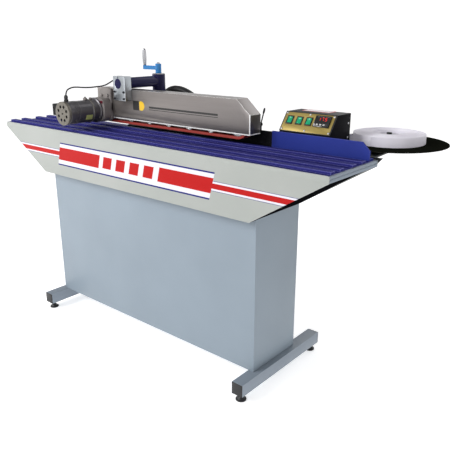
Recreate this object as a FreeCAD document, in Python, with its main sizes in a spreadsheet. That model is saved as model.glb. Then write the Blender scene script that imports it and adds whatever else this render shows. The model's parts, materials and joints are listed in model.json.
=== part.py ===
"""Edge banding machine: a ribbed feed table on a sheet cabinet, an overhead belt feed
carried by a height-adjustable arm, a control box and a horizontal tape reel.

+X runs along the table towards the infeed end, +Y to the rear, +Z up.  Sizes are in
millimetres and measured from the middle of the cabinet on the floor, or, where a note
says from NAME, from that other size; the finished pieces are moved so that the origin
is the bottom centre of the whole machine.
"""
import FreeCAD, Part
import Sketcher
import math
import os
import re

V = FreeCAD.Vector
doc = FreeCAD.newDocument("EdgeBander")
sheet = doc.addObject("Spreadsheet::Sheet", "Sizes")

SIZES = """
table_length     1829    table, end to end
table_front      185.5   front apron face, ahead of the cabinet middle
table_back       138.7   rear apron face, behind the cabinet middle
bed_top          904.7   height of the bed
bed_plate        4
apron_sheet      3
apron_drop       208.8   height of an apron in its middle
apron_end        22      height of an apron at its ends
apron_margin     3       apron foot past the cabinet at each end
apron_round      12
end_bar          7
end_groove       2
skirt_sheet      2
skirt_inset      4
rib_width        25
rib_rise         10
rib_1_front      -165
rib_2_front      -108
rib_3_front      -28
rib_4_front      36
stiffener_width  40
stiffener_drop   40
stiffener_end    60      stiffener to end bar
cabinet_width    1216
cabinet_front    138.4
cabinet_sheet    2
cabinet_flange   25
cabinet_bottom   80.5
rear_door_gap    10
rear_door_top    -214.7  from bed_top
foot_bar         50
foot_bar_wall    3
foot_bar_front   240
foot_bar_back    295
foot_plug        3
foot_plug_depth  14
plug_play        0.15
foot_inset       26.5
pad_width        42
cone_foot        33.6
pad_rise         7
cone_rise        9
cone_top         18
stem             10
stem_length      70
run_play         0.05    radial running clearance of every shaft in its bore
soft_gap         0.3     gap between neighbouring curved faces
fence_face       102
fence_sheet      6
fence_left       495
fence_margin     14.5    fence end to table end
fence_rise       62.3
fence_cut        29
fence_foot       24
deck_left        340
deck_right       296
deck_front       2       from fence_face
deck_back        320
deck_plate       8
gusset           6
gusset_drop      24      depth of a gusset's tip
guide_left       4       from deck_right
guide_rise       59
guide_post       16
guide_post_rise  30
lever_x          433
lever_y          12      from fence_face
lever_z          79.3    from bed_top
lever_tilt       15
lever_stem       5
lever_hub        14
lever_reach      44
lever_grip       8
lever_grip_long  22
feed_roll_x      262
feed_roll        32
press_roll_x     30
press_roll       44
roll_height      44
roll_pin         10
air_left         90
air_right        230
air_front        160
air_rise         92
nozzle_width     44
nozzle_rise      36
hose             36
hose_y           296
hose_port        44
hose_port_long   24
hose_port_z      57.3    from bed_top
hose_foot_x      -300
column_x         -249
column_y         229
column_flange    92
column_flange_up 12
column_post      44
column_top       195.3   from bed_top
post_bore_floor  -160    from column_top
sleeve           60
sleeve_top       235.3   from bed_top
sleeve_bottom    -160    from sleeve_top
sleeve_cap       12
spindle          12
spindle_bottom   -140    from sleeve_top
collar           58
collar_rise      5
crank_hub        28
crank_hub_rise   42
crank_radius     92
crank_bar        18
crank_bar_z      19      from sleeve_top
crank_nut        16
crank_nut_rise   6
grip             20
grip_long        76
grip_pin         8
grip_pin_long    60.8
arm_z            205.3   from bed_top
arm              48
arm_spigot       42
block_left       -31     from column_x
block_right      47      from column_x
head_front       20
block_front      -36.5   from head_front
block_bottom     -72     from arm_z
block_top        32      from arm_z
block_slit       4
block_bolt       9
block_bolt_head  6
block_bolt_rise  28.8    between the two rows of bolts
pulley_x         -372
head_left        -68     from pulley_x
idler_x          385
head_right       67      from idler_x
head_depth       66
pulley_z         82.3    from bed_top
head_bottom      -34     from pulley_z
head_top         97      from pulley_z
head_wall        3
head_nose_x      3       from idler_x
head_nose_z      41      from pulley_z
frame_plate      6
spacer           14
spacer_z         75      from pulley_z
pulley           90
belt             10
belt_front       7       from head_front
belt_width       50
pulley_inset     3
shaft            18
idler_pin        16
press_first      147     from pulley_x
press_pitch      118.5
press_wheel      40
press_pin        12
gear_left        -75     from pulley_x
gear_right       38      from pulley_x
gear_front       -54     from head_front
gear_bottom      -50     from pulley_z
gear_top         55      from pulley_z
gear_crown_left  -43     from pulley_x
gear_crown_front -28     from head_front
gear_crown_top   101     from pulley_z
gear_round       14
motor_x          -24     from pulley_x
motor_z          1       from pulley_z
motor            100
motor_back       -8      from gear_front
motor_front      -162    from gear_front
motor_flange     112
motor_groove     3
groove_first     24
groove_pitch     9
fan_cap          102
fan_front        -14     from motor_front
fan_wall         2
vent             9
vent_outer       13.5
vent_ring        30.6    radius of the ring of vents
box_left         -104    from motor_x
box_front        -154    from gear_front
box_back         -32     from gear_front
box_bottom       -16     from motor_z
box_top          34      from motor_z
box_play         1
gland_y          11      from motor_front
gland            20
gland_rise       28
gland_nut        14
gland_seat       1       gland sunk into the motor
cable            6
inlet_x          -43     from column_x
inlet_y          42      from head_front
desk_left        523
desk_width       216
desk_front       110
desk_back        146     from desk_front
desk_bottom      30.3    from bed_top
desk_sill        36      from desk_bottom
desk_wall        2
desk_slope_run   49
desk_slope_rise  67
panel_sheet      3
switch_first     30
switch_pitch     41
switch_v         46
switch_width     27
switch_height    34
switch_rise      3
rocker_width     18
rocker_height    24
rocker_play      1
rocker_depth     9
rocker_top       1       rocker above its bezel
rocker_hollow    1.8
rocker_curve     47.4    radius of the hollow
bezel_wall       2
meter_u          136
meter_v          27
meter_width      64
meter_height     46
meter_rise       5
meter_depth      45
meter_border     4
key_first        12
key_pitch        14
key_v            9
key_width        8
key_height       5
key_depth        3
key_rise         1
key_play         0.2
screw_head       8
screw_top        4.8
screw_slot       1
screw_rise       2.5
door_screw       11.2
door_screw_top   8
bracket_sheet    6
reel_z           20.3    from bed_top
bracket_drop     -45     from reel_z
bracket_left     -20     from desk_left
reel_x           835
bracket_right    70      from reel_x
bracket_horn     95      from reel_x
horn_root        8
horn_drop        12
bracket_top      -13     from reel_z
tray_sheet       3
reel_y           388
reel_disc        438
reel_sheet       3
reel_shelf       90
shelf_left       108     shelf's root, left of the spindle
shelf_right      63
reel_spindle     20
reel_collar      44
reel_hub         74
reel_hub_rise    30
tape_roll        268
tape_height      36
tape_sheet       1
tape_bend        20
post_x           5       from bracket_left
post_y           12      from desk_back
post_width       12
"""

WORD = re.compile(r"[A-Za-z_][A-Za-z_0-9]*")
ROWS = [(line.split(None, 2) + [""])[:3] for line in SIZES.strip().splitlines()]
FROM = {alias: WORD.findall(note)[1] for alias, value, note in ROWS if note.startswith("from ")}
SIZE = {}
for number, (alias, value, note) in enumerate(ROWS, start=1):
    sheet.set(f"A{number}", alias)
    sheet.set(f"B{number}", value)
    sheet.setAlias(f"B{number}", alias)
    sheet.set(f"C{number}", note)
    SIZE[alias] = float(value) + (SIZE[FROM[alias]] if alias in FROM else 0)
doc.recompute()

TURN = {"X": FreeCAD.Rotation(V(0, 1, 0), 90),
        "Y": FreeCAD.Rotation(V(1, 0, 0), -90),
        "Z": FreeCAD.Rotation()}
NODES = {}


# ---------------------------------------------------------------- building helpers

def cell(alias):
    """A size in the spreadsheet, counted from the size that it is measured from."""
    if alias in FROM:
        return f"({cell(FROM[alias])} + Sizes.{alias})"
    return f"Sizes.{alias}" if alias in SIZE else alias


def formula(text):
    """A size formula with its words pointed at the spreadsheet."""
    return WORD.sub(lambda word: cell(word.group()), str(text))


def bind(thing, **formulas):
    for prop, text in formulas.items():
        thing.setExpression(prop, formula(text))


def place(thing, at, rotation=None):
    """Put a thing at a point given by three formulas."""
    if rotation is not None:
        thing.Placement = FreeCAD.Placement(V(), rotation)
    for axis, text in zip("xyz", at):
        thing.setExpression(f"Placement.Base.{axis}", formula(text))
    return thing


def block(x, y, z):
    """A box from three pairs of formulas, its low and high face along each axis."""
    box = doc.addObject("Part::Box", "Block")
    bind(box, Length=f"({x[1]}) - ({x[0]})", Width=f"({y[1]}) - ({y[0]})",
         Height=f"({z[1]}) - ({z[0]})")
    return place(box, (x[0], y[0], z[0]))


def rod(at, width, length, axis="Z"):
    """A round bar of diameter width that runs from a point along +axis."""
    bar = doc.addObject("Part::Cylinder", "Rod")
    bind(bar, Radius=f"({width}) / 2", Height=length)
    return place(bar, at, TURN[axis])


def cone(at, bottom, top, length, axis="Z"):
    taper = doc.addObject("Part::Cone", "Cone")
    bind(taper, Radius1=f"({bottom}) / 2", Radius2=f"({top}) / 2", Height=length)
    return place(taper, at, TURN[axis])


def fuse(*parts):
    if len(parts) == 1:
        return parts[0]
    joined = doc.addObject("Part::MultiFuse", "Joined")
    joined.Shapes = list(parts)
    joined.Refine = True
    return joined


def cut(base, *tools):
    left = doc.addObject("Part::Cut", "Cut")
    left.Base = base
    left.Tool = fuse(*tools)
    return left


def group(*parts):
    """Separate solids that share one node."""
    several = doc.addObject("Part::Compound", "Group")
    several.Links = list(parts)
    return several


def node(name, thing):
    thing.Label = name
    NODES[name] = thing
    return thing


def origin_plane(body, role):
    return next(plane for plane in body.Origin.OriginFeatures if plane.Role == role)


def outline(body, role, corners):
    """A closed sketch of straight lines through corners given as pairs of formulas."""
    sketch = body.newObject("Sketcher::SketchObject", "Outline")
    sketch.AttachmentSupport = (origin_plane(body, role), [""])
    sketch.MapMode = "FlatFace"
    count = len(corners)
    ring = [V(math.cos(2 * math.pi * index / count), math.sin(2 * math.pi * index / count), 0)
            for index in range(count)]
    for index in range(count):
        sketch.addGeometry(Part.LineSegment(ring[index], ring[(index + 1) % count]))
    for index, corner in enumerate(corners):
        sketch.addConstraint(Sketcher.Constraint("Coincident", index, 2, (index + 1) % count, 1))
        for kind, axis, text in zip(("DistanceX", "DistanceY"), (-2, -1), corner):
            if str(text) == "0":
                sketch.addConstraint(Sketcher.Constraint("PointOnObject", index, 1, axis))
            else:
                number = sketch.addConstraint(Sketcher.Constraint(kind, -1, 1, index, 1, 1.0))
                sketch.setExpression(f"Constraints[{number}]", formula(text))
    return sketch


def pad(body, role, corners, depth, away=False):
    """Add an outline's prism to a body; away turns it against the sketch's normal."""
    feature = body.newObject("PartDesign::Pad", "Pad")
    feature.Profile = outline(body, role, corners)
    feature.Reversed = away
    bind(feature, Length=depth)
    return feature


def plate(role, corners, depth, at, away=False):
    """A sheet or block with a drawn outline, as a body of its own."""
    body = doc.addObject("PartDesign::Body", "Body")
    pad(body, role, corners, depth, away)
    return place(body, at)


def fillet(body, spot, radius):
    """Round the body's edge whose middle is nearest to a spot in the body's own frame."""
    doc.recompute()
    shape = body.Tip.Shape
    names = [f"Edge{number + 1}" for number in range(len(shape.Edges))]
    nearest = min(names, key=lambda name: (shape.getElement(name).CenterOfMass - V(*spot)).Length)
    rounded = body.Tip
    feature = body.newObject("PartDesign::Fillet", "Round")
    feature.Base = (rounded, [nearest])
    bind(feature, Radius=radius)
    return feature


def arc_path(points):
    """Straight runs joined by tangent arcs, each as large as its two runs allow."""
    points = [V(*point) for point in points]
    edges, start = [], points[0]
    for before, here, after in zip(points, points[1:], points[2:]):
        back, ahead = before - here, after - here
        reach = 0.45 * min(back.Length, ahead.Length)
        turn = math.pi - back.getAngle(ahead)
        radius = reach / math.tan(turn / 2)
        print(f"    arc radius {radius:.0f}")
        first = here + back.normalize() * reach
        last = here + ahead.normalize() * reach
        bisector = (back + ahead).normalize()
        middle = here + bisector * (radius / math.cos(turn / 2) - radius)
        edges.append(Part.LineSegment(start, first).toShape())
        edges.append(Part.Arc(first, middle, last).toShape())
        start = last
    edges.append(Part.LineSegment(start, points[-1]).toShape())
    return Part.Wire(edges)


def tube_along(points, width):
    """A round bar of diameter width along a path, checked against section times length."""
    path = arc_path(points)
    direction = V(*points[1]) - V(*points[0])
    section = Part.Wire(Part.Circle(V(*points[0]), direction, width / 2).toShape())
    solid = path.makePipeShell([section], True, False)
    expected = math.pi * width ** 2 / 4 * path.Length
    assert abs(solid.Volume / expected - 1) < 0.01, "a tube has the wrong volume"
    return solid


def held(name, shape):
    """A piece whose shape is made directly, because no feature fits it."""
    feature = doc.addObject("Part::Feature", "Held")
    feature.Shape = shape
    return node(name, feature)


# ---------------------------------------------------------------- stand

def foot_bar(side):
    """One square tube across a cabinet end, with bores for its levelling feet."""
    middle = f"{side} * cabinet_width / 2"
    half = "foot_bar / 2"
    ends = ("-foot_bar_front + foot_plug", "foot_bar_back - foot_plug")
    low = "cabinet_bottom - foot_bar"
    tube = block((f"{middle} - {half}", f"{middle} + {half}"), ends, (low, "cabinet_bottom"))
    inside = block((f"{middle} - {half} + foot_bar_wall", f"{middle} + {half} - foot_bar_wall"),
                   ends, (f"{low} + foot_bar_wall", "cabinet_bottom - foot_bar_wall"))
    bores = [rod((middle, y, low), "stem + 2 * run_play", "foot_bar_wall")
             for y in FOOT_ROWS]
    return cut(tube, inside, *bores)


def foot_plug(side, front):
    """A square cap with a plug that sits inside the foot bar's end."""
    middle = f"{side} * cabinet_width / 2"
    low = "cabinet_bottom - foot_bar"
    outer = "-foot_bar_front" if front else "foot_bar_back - foot_plug"
    inner = ("-foot_bar_front + foot_plug" if front
             else "foot_bar_back - foot_plug - foot_plug_depth")
    reach = "foot_bar / 2 - foot_bar_wall - plug_play"
    cap = block((f"{middle} - foot_bar / 2", f"{middle} + foot_bar / 2"),
                (outer, f"{outer} + foot_plug"), (low, "cabinet_bottom"))
    plug = block((f"{middle} - ({reach})", f"{middle} + ({reach})"),
                 (inner, f"{inner} + foot_plug_depth"),
                 (f"{low} + foot_bar_wall + plug_play", "cabinet_bottom - foot_bar_wall - plug_play"))
    return fuse(cap, plug)


def levelling_foot(side, y):
    middle = f"{side} * cabinet_width / 2"
    return fuse(rod((middle, y, 0), "pad_width", "pad_rise"),
                cone((middle, y, "pad_rise"), "cone_foot", "cone_top", "cone_rise"),
                rod((middle, y, "pad_rise + cone_rise"), "stem", "stem_length - pad_rise - cone_rise"))


FOOT_ROWS = ("-foot_bar_front + foot_inset", "foot_bar_back - foot_inset")
node("foot_bars", group(foot_bar(-1), foot_bar(1)))
node("foot_bar_plugs", group(*[foot_plug(side, front) for side in (-1, 1) for front in (True, False)]))
for number, (side, row) in enumerate([(-1, 0), (1, 0), (-1, 1), (1, 1)], start=1):
    node(f"levelling_foot_{number}", levelling_foot(side, FOOT_ROWS[row]))


def cabinet_shell():
    """A folded sheet: front, two ends and narrow rear flanges, with a floor."""
    depth = "cabinet_front + table_back - apron_sheet"
    body = doc.addObject("PartDesign::Body", "Body")
    pad(body, "XY_Plane",
        [(0, 0), ("cabinet_width", 0), ("cabinet_width", depth),
         ("cabinet_width - cabinet_flange", depth),
         ("cabinet_width - cabinet_flange", f"{depth} - cabinet_sheet"),
         ("cabinet_width - cabinet_sheet", f"{depth} - cabinet_sheet"),
         ("cabinet_width - cabinet_sheet", "cabinet_sheet"), ("cabinet_sheet", "cabinet_sheet"),
         ("cabinet_sheet", f"{depth} - cabinet_sheet"), ("cabinet_flange", f"{depth} - cabinet_sheet"),
         ("cabinet_flange", depth), (0, depth)],
        "bed_top - bed_plate - cabinet_bottom")
    pad(body, "XY_Plane",
        [("cabinet_sheet", "cabinet_sheet"), ("cabinet_width - cabinet_sheet", "cabinet_sheet"),
         ("cabinet_width - cabinet_sheet", f"{depth} - cabinet_sheet"),
         ("cabinet_sheet", f"{depth} - cabinet_sheet")], "cabinet_sheet")
    return place(body, ("-cabinet_width / 2", "-cabinet_front", "cabinet_bottom"))


node("cabinet_shell", cabinet_shell())
REAR_FACE = "table_back - apron_sheet"
node("cabinet_rear_panel",
     block(("-cabinet_width / 2 + rear_door_gap", "cabinet_width / 2 - rear_door_gap"),
           (REAR_FACE, f"{REAR_FACE} + cabinet_sheet"),
           ("cabinet_bottom + rear_door_gap", "rear_door_top")))


# ---------------------------------------------------------------- table

def apron(face):
    """A sheet with short upright ends and a long sloping underside at each end."""
    reach, foot = "table_length", "(table_length / 2 - cabinet_width / 2 - apron_margin)"
    body = plate("XZ_Plane",
                 [(0, "apron_drop - apron_end"), (foot, 0), (f"{reach} - {foot}", 0),
                  (reach, "apron_drop - apron_end"), (reach, "apron_drop"), (0, "apron_drop")],
                 "apron_sheet", ("-table_length / 2", face, "bed_top - apron_drop"), away=True)
    fillet(body, (0, 0, SIZE["apron_drop"]), "apron_round")
    return body


def end_bar(side):
    """A flat bar that closes one end of the table, with a groove along its top."""
    span = [f"{side} * (table_length / 2 - end_bar)", f"{side} * table_length / 2"]
    low, high = span if side > 0 else reversed(span)
    bar = block((low, high), ("-table_front + apron_sheet", REAR_FACE),
                ("bed_top - apron_end", "bed_top"))
    groove = block((f"{low} + end_bar / 2 - end_groove / 2", f"{low} + end_bar / 2 + end_groove / 2"),
                   ("-table_front + apron_sheet", REAR_FACE), ("bed_top - end_groove", "bed_top"))
    return cut(bar, groove)


def end_skirt(side):
    """The sloping sheet under one overhanging end, between the two aprons."""
    near = f"{side} * (cabinet_width / 2 + apron_margin + skirt_inset)"
    far = f"{side} * (table_length / 2 - end_bar)"
    low, high = "0", "apron_drop - apron_end"
    return plate("XZ_Plane",
                 [(near, low), (far, high), (far, f"{high} + skirt_sheet"),
                  (near, f"{low} + skirt_sheet")],
                 "table_front + table_back - 2 * apron_sheet",
                 (0, "-table_front + apron_sheet", "bed_top - apron_drop + skirt_inset / 2"), away=True)


def table_bed():
    """The bed plate with one stiffener under each overhanging end."""
    reach = "table_length / 2 - end_bar"
    top = block((f"-({reach})", reach), ("-table_front + apron_sheet", REAR_FACE),
                ("bed_top - bed_plate", "bed_top"))
    parts = [top]
    for span in ((f"-({reach} - stiffener_end)", "-cabinet_width / 2"),
                 ("cabinet_width / 2", f"{reach} - stiffener_end")):
        parts.append(block(span, ("-stiffener_width / 2", "stiffener_width / 2"),
                           ("bed_top - bed_plate - stiffener_drop", "bed_top - bed_plate")))
    return fuse(*parts)


node("table_bed", table_bed())
node("bed_ribs", group(*[block(("-table_length / 2 + end_bar", "table_length / 2 - end_bar"),
                               (f"rib_{number}_front", f"rib_{number}_front + rib_width"),
                               ("bed_top", "bed_top + rib_rise"))
                         for number in range(1, 5)]))
node("front_apron", apron("-table_front"))
node("rear_apron", apron(REAR_FACE))
node("end_bars", group(end_bar(-1), end_bar(1)))
node("end_skirts", group(end_skirt(-1), end_skirt(1)))


def infeed_fence():
    """An upright plate on an angle foot, its far upper corner cut off."""
    long = "(table_length / 2 - fence_margin - fence_left)"
    body = plate("XZ_Plane",
                 [(0, 0), (long, 0), (long, "fence_rise - fence_cut"),
                  (f"{long} - fence_cut", "fence_rise"), (0, "fence_rise")],
                 "fence_sheet", ("fence_left", "fence_face", "bed_top"), away=True)
    pad(body, "XZ_Plane", [(0, 0), (long, 0), (long, "fence_sheet"), (0, "fence_sheet")],
        "fence_sheet + fence_foot", away=True)
    return body


node("infeed_fence", infeed_fence())


# ---------------------------------------------------------------- edge section behind the fence

DECK_TOP = "bed_top + deck_plate"


def machine_deck():
    """The plate that carries the column and the edge section, on two rear gussets."""
    slab = block(("-deck_left", "deck_right"), ("deck_front", "deck_back"), ("bed_top", DECK_TOP))
    pins = [rod((x, f"fence_face + {width} / 2 + soft_gap", DECK_TOP), "roll_pin",
                "roll_height + 2 * soft_gap")
            for x, width in (("feed_roll_x", "feed_roll"), ("press_roll_x", "press_roll"))]
    gussets = [plate("YZ_Plane",
                     [(0, 0), (0, "-(apron_drop - apron_end)"),
                      ("deck_back - table_back", "-gusset_drop"), ("deck_back - table_back", 0)],
                     "gusset", (x, "table_back", "bed_top"))
               for x in ("-deck_left + gusset", "deck_right - 2 * gusset")]
    return fuse(slab, *pins, *gussets)


def tape_guide():
    """The dark guide that continues the fence line, with the post of its clamp lever."""
    body = plate("XZ_Plane",
                 [(0, 0), ("fence_left - soft_gap - guide_left", 0),
                  ("fence_left - soft_gap - guide_left", "guide_rise"), (0, "guide_rise")],
                 "fence_sheet", ("guide_left", "fence_face", "bed_top"), away=True)
    post = block(("lever_x - guide_post / 2", "lever_x + guide_post / 2"),
                 ("fence_face", "lever_y - lever_grip / 2 - soft_gap"),
                 ("bed_top + guide_rise", "bed_top + guide_rise + guide_post_rise"))
    pin = rod(("lever_x", "lever_y - lever_grip / 2 - soft_gap", "lever_z"), "lever_stem",
              "lever_grip + 2 * soft_gap", "Y")
    return fuse(body, post, pin)


def clamp_lever():
    """A hub on a cross pin, a thin stem and a round grip, leaning towards the infeed."""
    lean = FreeCAD.Rotation(V(0, 1, 0), SIZE["lever_tilt"])
    hub = rod((0, "-lever_grip / 2", 0), "lever_hub", "lever_grip", "Y")
    stem = rod((0, 0, "lever_stem"), "lever_stem", "lever_reach - lever_stem")
    grip = rod((0, 0, "lever_reach"), "lever_grip", "lever_grip_long")
    bore = rod((0, "-lever_grip", 0), "lever_stem + 2 * run_play", "lever_grip * 2", "Y")
    return place(cut(fuse(hub, stem, grip), bore), ("lever_x", "lever_y", "lever_z"), lean)


def standing_roller(x, width):
    """A roller with an upright axis whose face runs on the fence line."""
    at = (x, f"fence_face + {width} / 2 + soft_gap", f"{DECK_TOP} + soft_gap")
    return cut(rod(at, width, "roll_height"), rod(at, "roll_pin + 2 * run_play", "roll_height"))


def hot_air_unit():
    """The heater box with its nozzle at the fence line and the port for its air hose."""
    case = block(("air_left", "air_right"), ("air_front", "deck_back"),
                 (DECK_TOP, f"{DECK_TOP} + air_rise"))
    middle = "(air_left + air_right) / 2"
    nozzle = block((f"{middle} - nozzle_width / 2", f"{middle} + nozzle_width / 2"),
                   ("fence_face + fence_sheet", "air_front"),
                   (f"{DECK_TOP} + fence_sheet", f"{DECK_TOP} + fence_sheet + nozzle_rise"))
    mouth = ("air_left - hose_port_long", "hose_y", "hose_port_z")
    port = rod(mouth, "hose_port", "hose_port_long", "X")
    bore = rod(mouth, "hose", "hose_port_long / 2", "X")
    return cut(fuse(case, nozzle, port), bore)


node("machine_deck", machine_deck())
node("tape_guide", tape_guide())
node("tape_clamp_lever", clamp_lever())
node("tape_feed_roller", standing_roller("feed_roll_x", "feed_roll"))
node("press_roller", standing_roller("press_roll_x", "press_roll"))
node("hot_air_unit", hot_air_unit())

bed = SIZE["bed_top"]
hose_end = SIZE["air_left"] - SIZE["hose_port_long"] / 2
HOSE_ROUTE = [(SIZE["hose_foot_x"], bed + SIZE["deck_plate"]), (-300, bed + 55.3),
              (-296, bed + 105.3), (-270, bed + 143.3), (-228, bed + 163.3),
              (-182, bed + 164.3), (-140, bed + 155.3), (-98, bed + 138.3),
              (-60, bed + 109.3), (-24, bed + 75.3), (26, SIZE["hose_port_z"]),
              (hose_end, SIZE["hose_port_z"])]
held("air_hose", tube_along([(x, SIZE["hose_y"], z) for x, z in HOSE_ROUTE], SIZE["hose"]))


# ---------------------------------------------------------------- column, arm and crank

def column_post():
    """The fixed post on its flange, bored for the lift spindle."""
    base = ("column_x", "column_y", DECK_TOP)
    post = fuse(rod(base, "column_flange", "column_flange_up"),
                rod(base, "column_post", f"column_top - ({DECK_TOP})"))
    return cut(post, rod(("column_x", "column_y", "post_bore_floor"), "spindle + 2 * run_play",
                         "column_top - post_bore_floor"))


def lift_arm():
    """The sleeve that slides on the post, with the round arm that reaches to the front."""
    middle = ("column_x", "column_y")
    tube = fuse(rod((*middle, "sleeve_bottom"), "sleeve", "sleeve_top - sleeve_bottom"),
                rod(("column_x", "head_front + soft_gap", "arm_z"), "arm",
                    "column_y - head_front - soft_gap", "Y"),
                rod(("column_x", "block_front", "arm_z"), "arm_spigot",
                    "column_y - block_front", "Y"))
    return cut(tube,
               rod((*middle, "sleeve_bottom"), "column_post + 2 * run_play",
                   "sleeve_top - sleeve_cap - sleeve_bottom"),
               rod((*middle, "sleeve_bottom"), "spindle + 2 * run_play", "sleeve_top - sleeve_bottom"))


def lift_spindle():
    middle = ("column_x", "column_y")
    return fuse(rod((*middle, "spindle_bottom"), "spindle",
                    "sleeve_top + collar_rise + crank_hub_rise - spindle_bottom"),
                rod((*middle, "sleeve_top"), "collar", "collar_rise"),
                rod((*middle, "sleeve_top + collar_rise + crank_hub_rise"), "crank_nut",
                    "crank_nut_rise"))


def crank_arm():
    """A hub on the spindle and a flat bar with the pin for the grip."""
    hub_foot = "sleeve_top + collar_rise"
    far = "column_x - crank_radius"
    body = fuse(rod(("column_x", "column_y", hub_foot), "crank_hub", "crank_hub_rise"),
                block((far, "column_x"), ("column_y - crank_bar / 2", "column_y + crank_bar / 2"),
                      ("crank_bar_z", "crank_bar_z + crank_bar")),
                rod((far, "column_y", "crank_bar_z"), "crank_bar", "crank_bar"),
                rod((far, "column_y", "crank_bar_z"), "grip_pin", "crank_bar + grip_pin_long"))
    return cut(body, rod(("column_x", "column_y", hub_foot), "spindle", "crank_hub_rise"))


def crank_grip():
    foot = ("column_x - crank_radius", "column_y", "crank_bar_z + crank_bar + soft_gap")
    body = fuse(rod(foot, "grip", "grip_long - grip / 4"),
                cone((*foot[:2], f"{foot[2]} + grip_long - grip / 4"), "grip", "grip / 2",
                     "grip / 4"))
    return cut(body, rod(foot, "grip_pin + 2 * run_play", "grip_pin_long + soft_gap"))


node("column_post", column_post())
node("lift_arm", lift_arm())
node("lift_spindle", lift_spindle())
node("crank_arm", crank_arm())
node("crank_grip", crank_grip())


# ---------------------------------------------------------------- feed head

def clamp_block():
    """The block that grips the arm's end, slit above the bore and bolted to the housing."""
    deep = ("block_front", "head_front")
    solid = block(("block_left", "block_right"), deep, ("block_bottom", "block_top"))
    bore = rod(("column_x", "block_front", "arm_z"), "arm_spigot", "head_front - block_front", "Y")
    slit = block(("column_x - block_slit / 2", "column_x + block_slit / 2"), deep,
                 ("arm_z", "block_top"))
    return cut(solid, bore, slit)


def block_bolt(x, z):
    """A socket-head bolt on the clamp block's front."""
    head = rod((x, "block_front - block_bolt_head", z), "block_bolt", "block_bolt_head", "Y")
    socket = rod((x, "block_front - block_bolt_head", z), "block_bolt / 2", "block_bolt_head / 2", "Y")
    return cut(head, socket)


NOSE_DROP, NOSE_RUN = "(head_top - head_nose_z)", "(head_right - head_nose_x)"
END_SHIFT = f"head_wall * tan(atan({NOSE_RUN} / {NOSE_DROP}) / 2)"
TOP_SHIFT = f"head_wall * tan(atan({NOSE_DROP} / {NOSE_RUN}) / 2)"


def housing_cover():
    """A folded cover: front plate, top, sloping nose and end, open below and at the left."""
    long = "head_right - head_left"
    nose_x, nose_z = "head_nose_x - head_left", "head_nose_z - head_bottom"
    rise = "head_top - head_bottom"
    body = plate("XZ_Plane",
                 [(0, 0), (long, 0), (long, nose_z), (nose_x, rise), (0, rise)],
                 "head_depth", ("head_left", "head_front", "head_bottom"), away=True)
    hollow = plate("XZ_Plane",
                   [("-head_wall", "-head_wall"), (f"{long} - head_wall", "-head_wall"),
                    (f"{long} - head_wall", f"{nose_z} - {END_SHIFT}"),
                    (f"{nose_x} - {TOP_SHIFT}", f"{rise} - head_wall"),
                    ("-head_wall", f"{rise} - head_wall")],
                   "head_depth", ("head_left", "head_front + head_wall", "head_bottom"), away=True)
    return cut(body, hollow, rod(("pulley_x", "head_front", "pulley_z"), "shaft + 2 * run_play",
                                 "head_wall", "Y"))


def head_frame():
    """The rear plate of the head with its spacers, the roller pins and the idler pin."""
    rear = "head_front + head_depth"
    near = "head_front + head_wall"
    long = "head_right - head_left - head_wall"
    rise = "head_top - head_bottom - head_wall"
    sheet_back = plate("XZ_Plane",
                       [(0, 0), (long, 0), (long, f"head_nose_z - head_bottom - {END_SHIFT}"),
                        (f"head_nose_x - head_left - {TOP_SHIFT}", rise), (0, rise)],
                       "frame_plate", ("head_left", f"{rear} - frame_plate", "head_bottom"), away=True)
    spacers = [rod((x, near, "spacer_z"), "spacer", f"{rear} - frame_plate - ({near})", "Y")
               for x in ("head_left + 3 * spacer", "column_x", "0", "head_nose_x - 3 * spacer")]
    reach = f"{rear} - frame_plate - belt_front - pulley_inset"
    pins = [rod((x, "belt_front + pulley_inset", z), width, reach, "Y") for x, z, width in PINS]
    bearing = rod(("pulley_x", f"{rear} - frame_plate", "pulley_z"), "shaft + 2 * run_play",
                  "frame_plate", "Y")
    return cut(fuse(sheet_back, *spacers, *pins), bearing)


def feed_belt():
    """A flat loop around the two pulleys."""
    def loop(radius):
        ends = [rod((x, "belt_front", "pulley_z"), f"2 * ({radius})", "belt_width", "Y")
                for x in ("pulley_x", "idler_x")]
        middle = block(("pulley_x", "idler_x"), ("belt_front", "belt_front + belt_width"),
                       (f"pulley_z - ({radius})", f"pulley_z + ({radius})"))
        return fuse(*ends, middle)
    return cut(loop("pulley / 2 + belt"), loop("pulley / 2"))


def belt_wheel(x, z, width, bore):
    at = (x, "belt_front + pulley_inset", z)
    long = "belt_width - 2 * pulley_inset"
    return cut(rod(at, width, long, "Y"), rod(at, bore, long, "Y"))


def drive_pulley():
    """The driving pulley on the gearbox's output shaft."""
    start = "gear_front + (head_front - gear_front) / 2"
    return fuse(rod(("pulley_x", "belt_front + pulley_inset", "pulley_z"), "pulley - 2 * soft_gap",
                    "belt_width - 2 * pulley_inset", "Y"),
                rod(("pulley_x", start, "pulley_z"), "shaft",
                    f"head_front + head_depth - ({start})", "Y"))


PRESS_WHEELS = [f"press_first + {number} * press_pitch" for number in range(5)]
PRESS_Z = "pulley_z - pulley / 2 + press_wheel / 2 + soft_gap"
PINS = [(x, PRESS_Z, "press_pin") for x in PRESS_WHEELS] + [("idler_x", "pulley_z", "idler_pin")]

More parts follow.
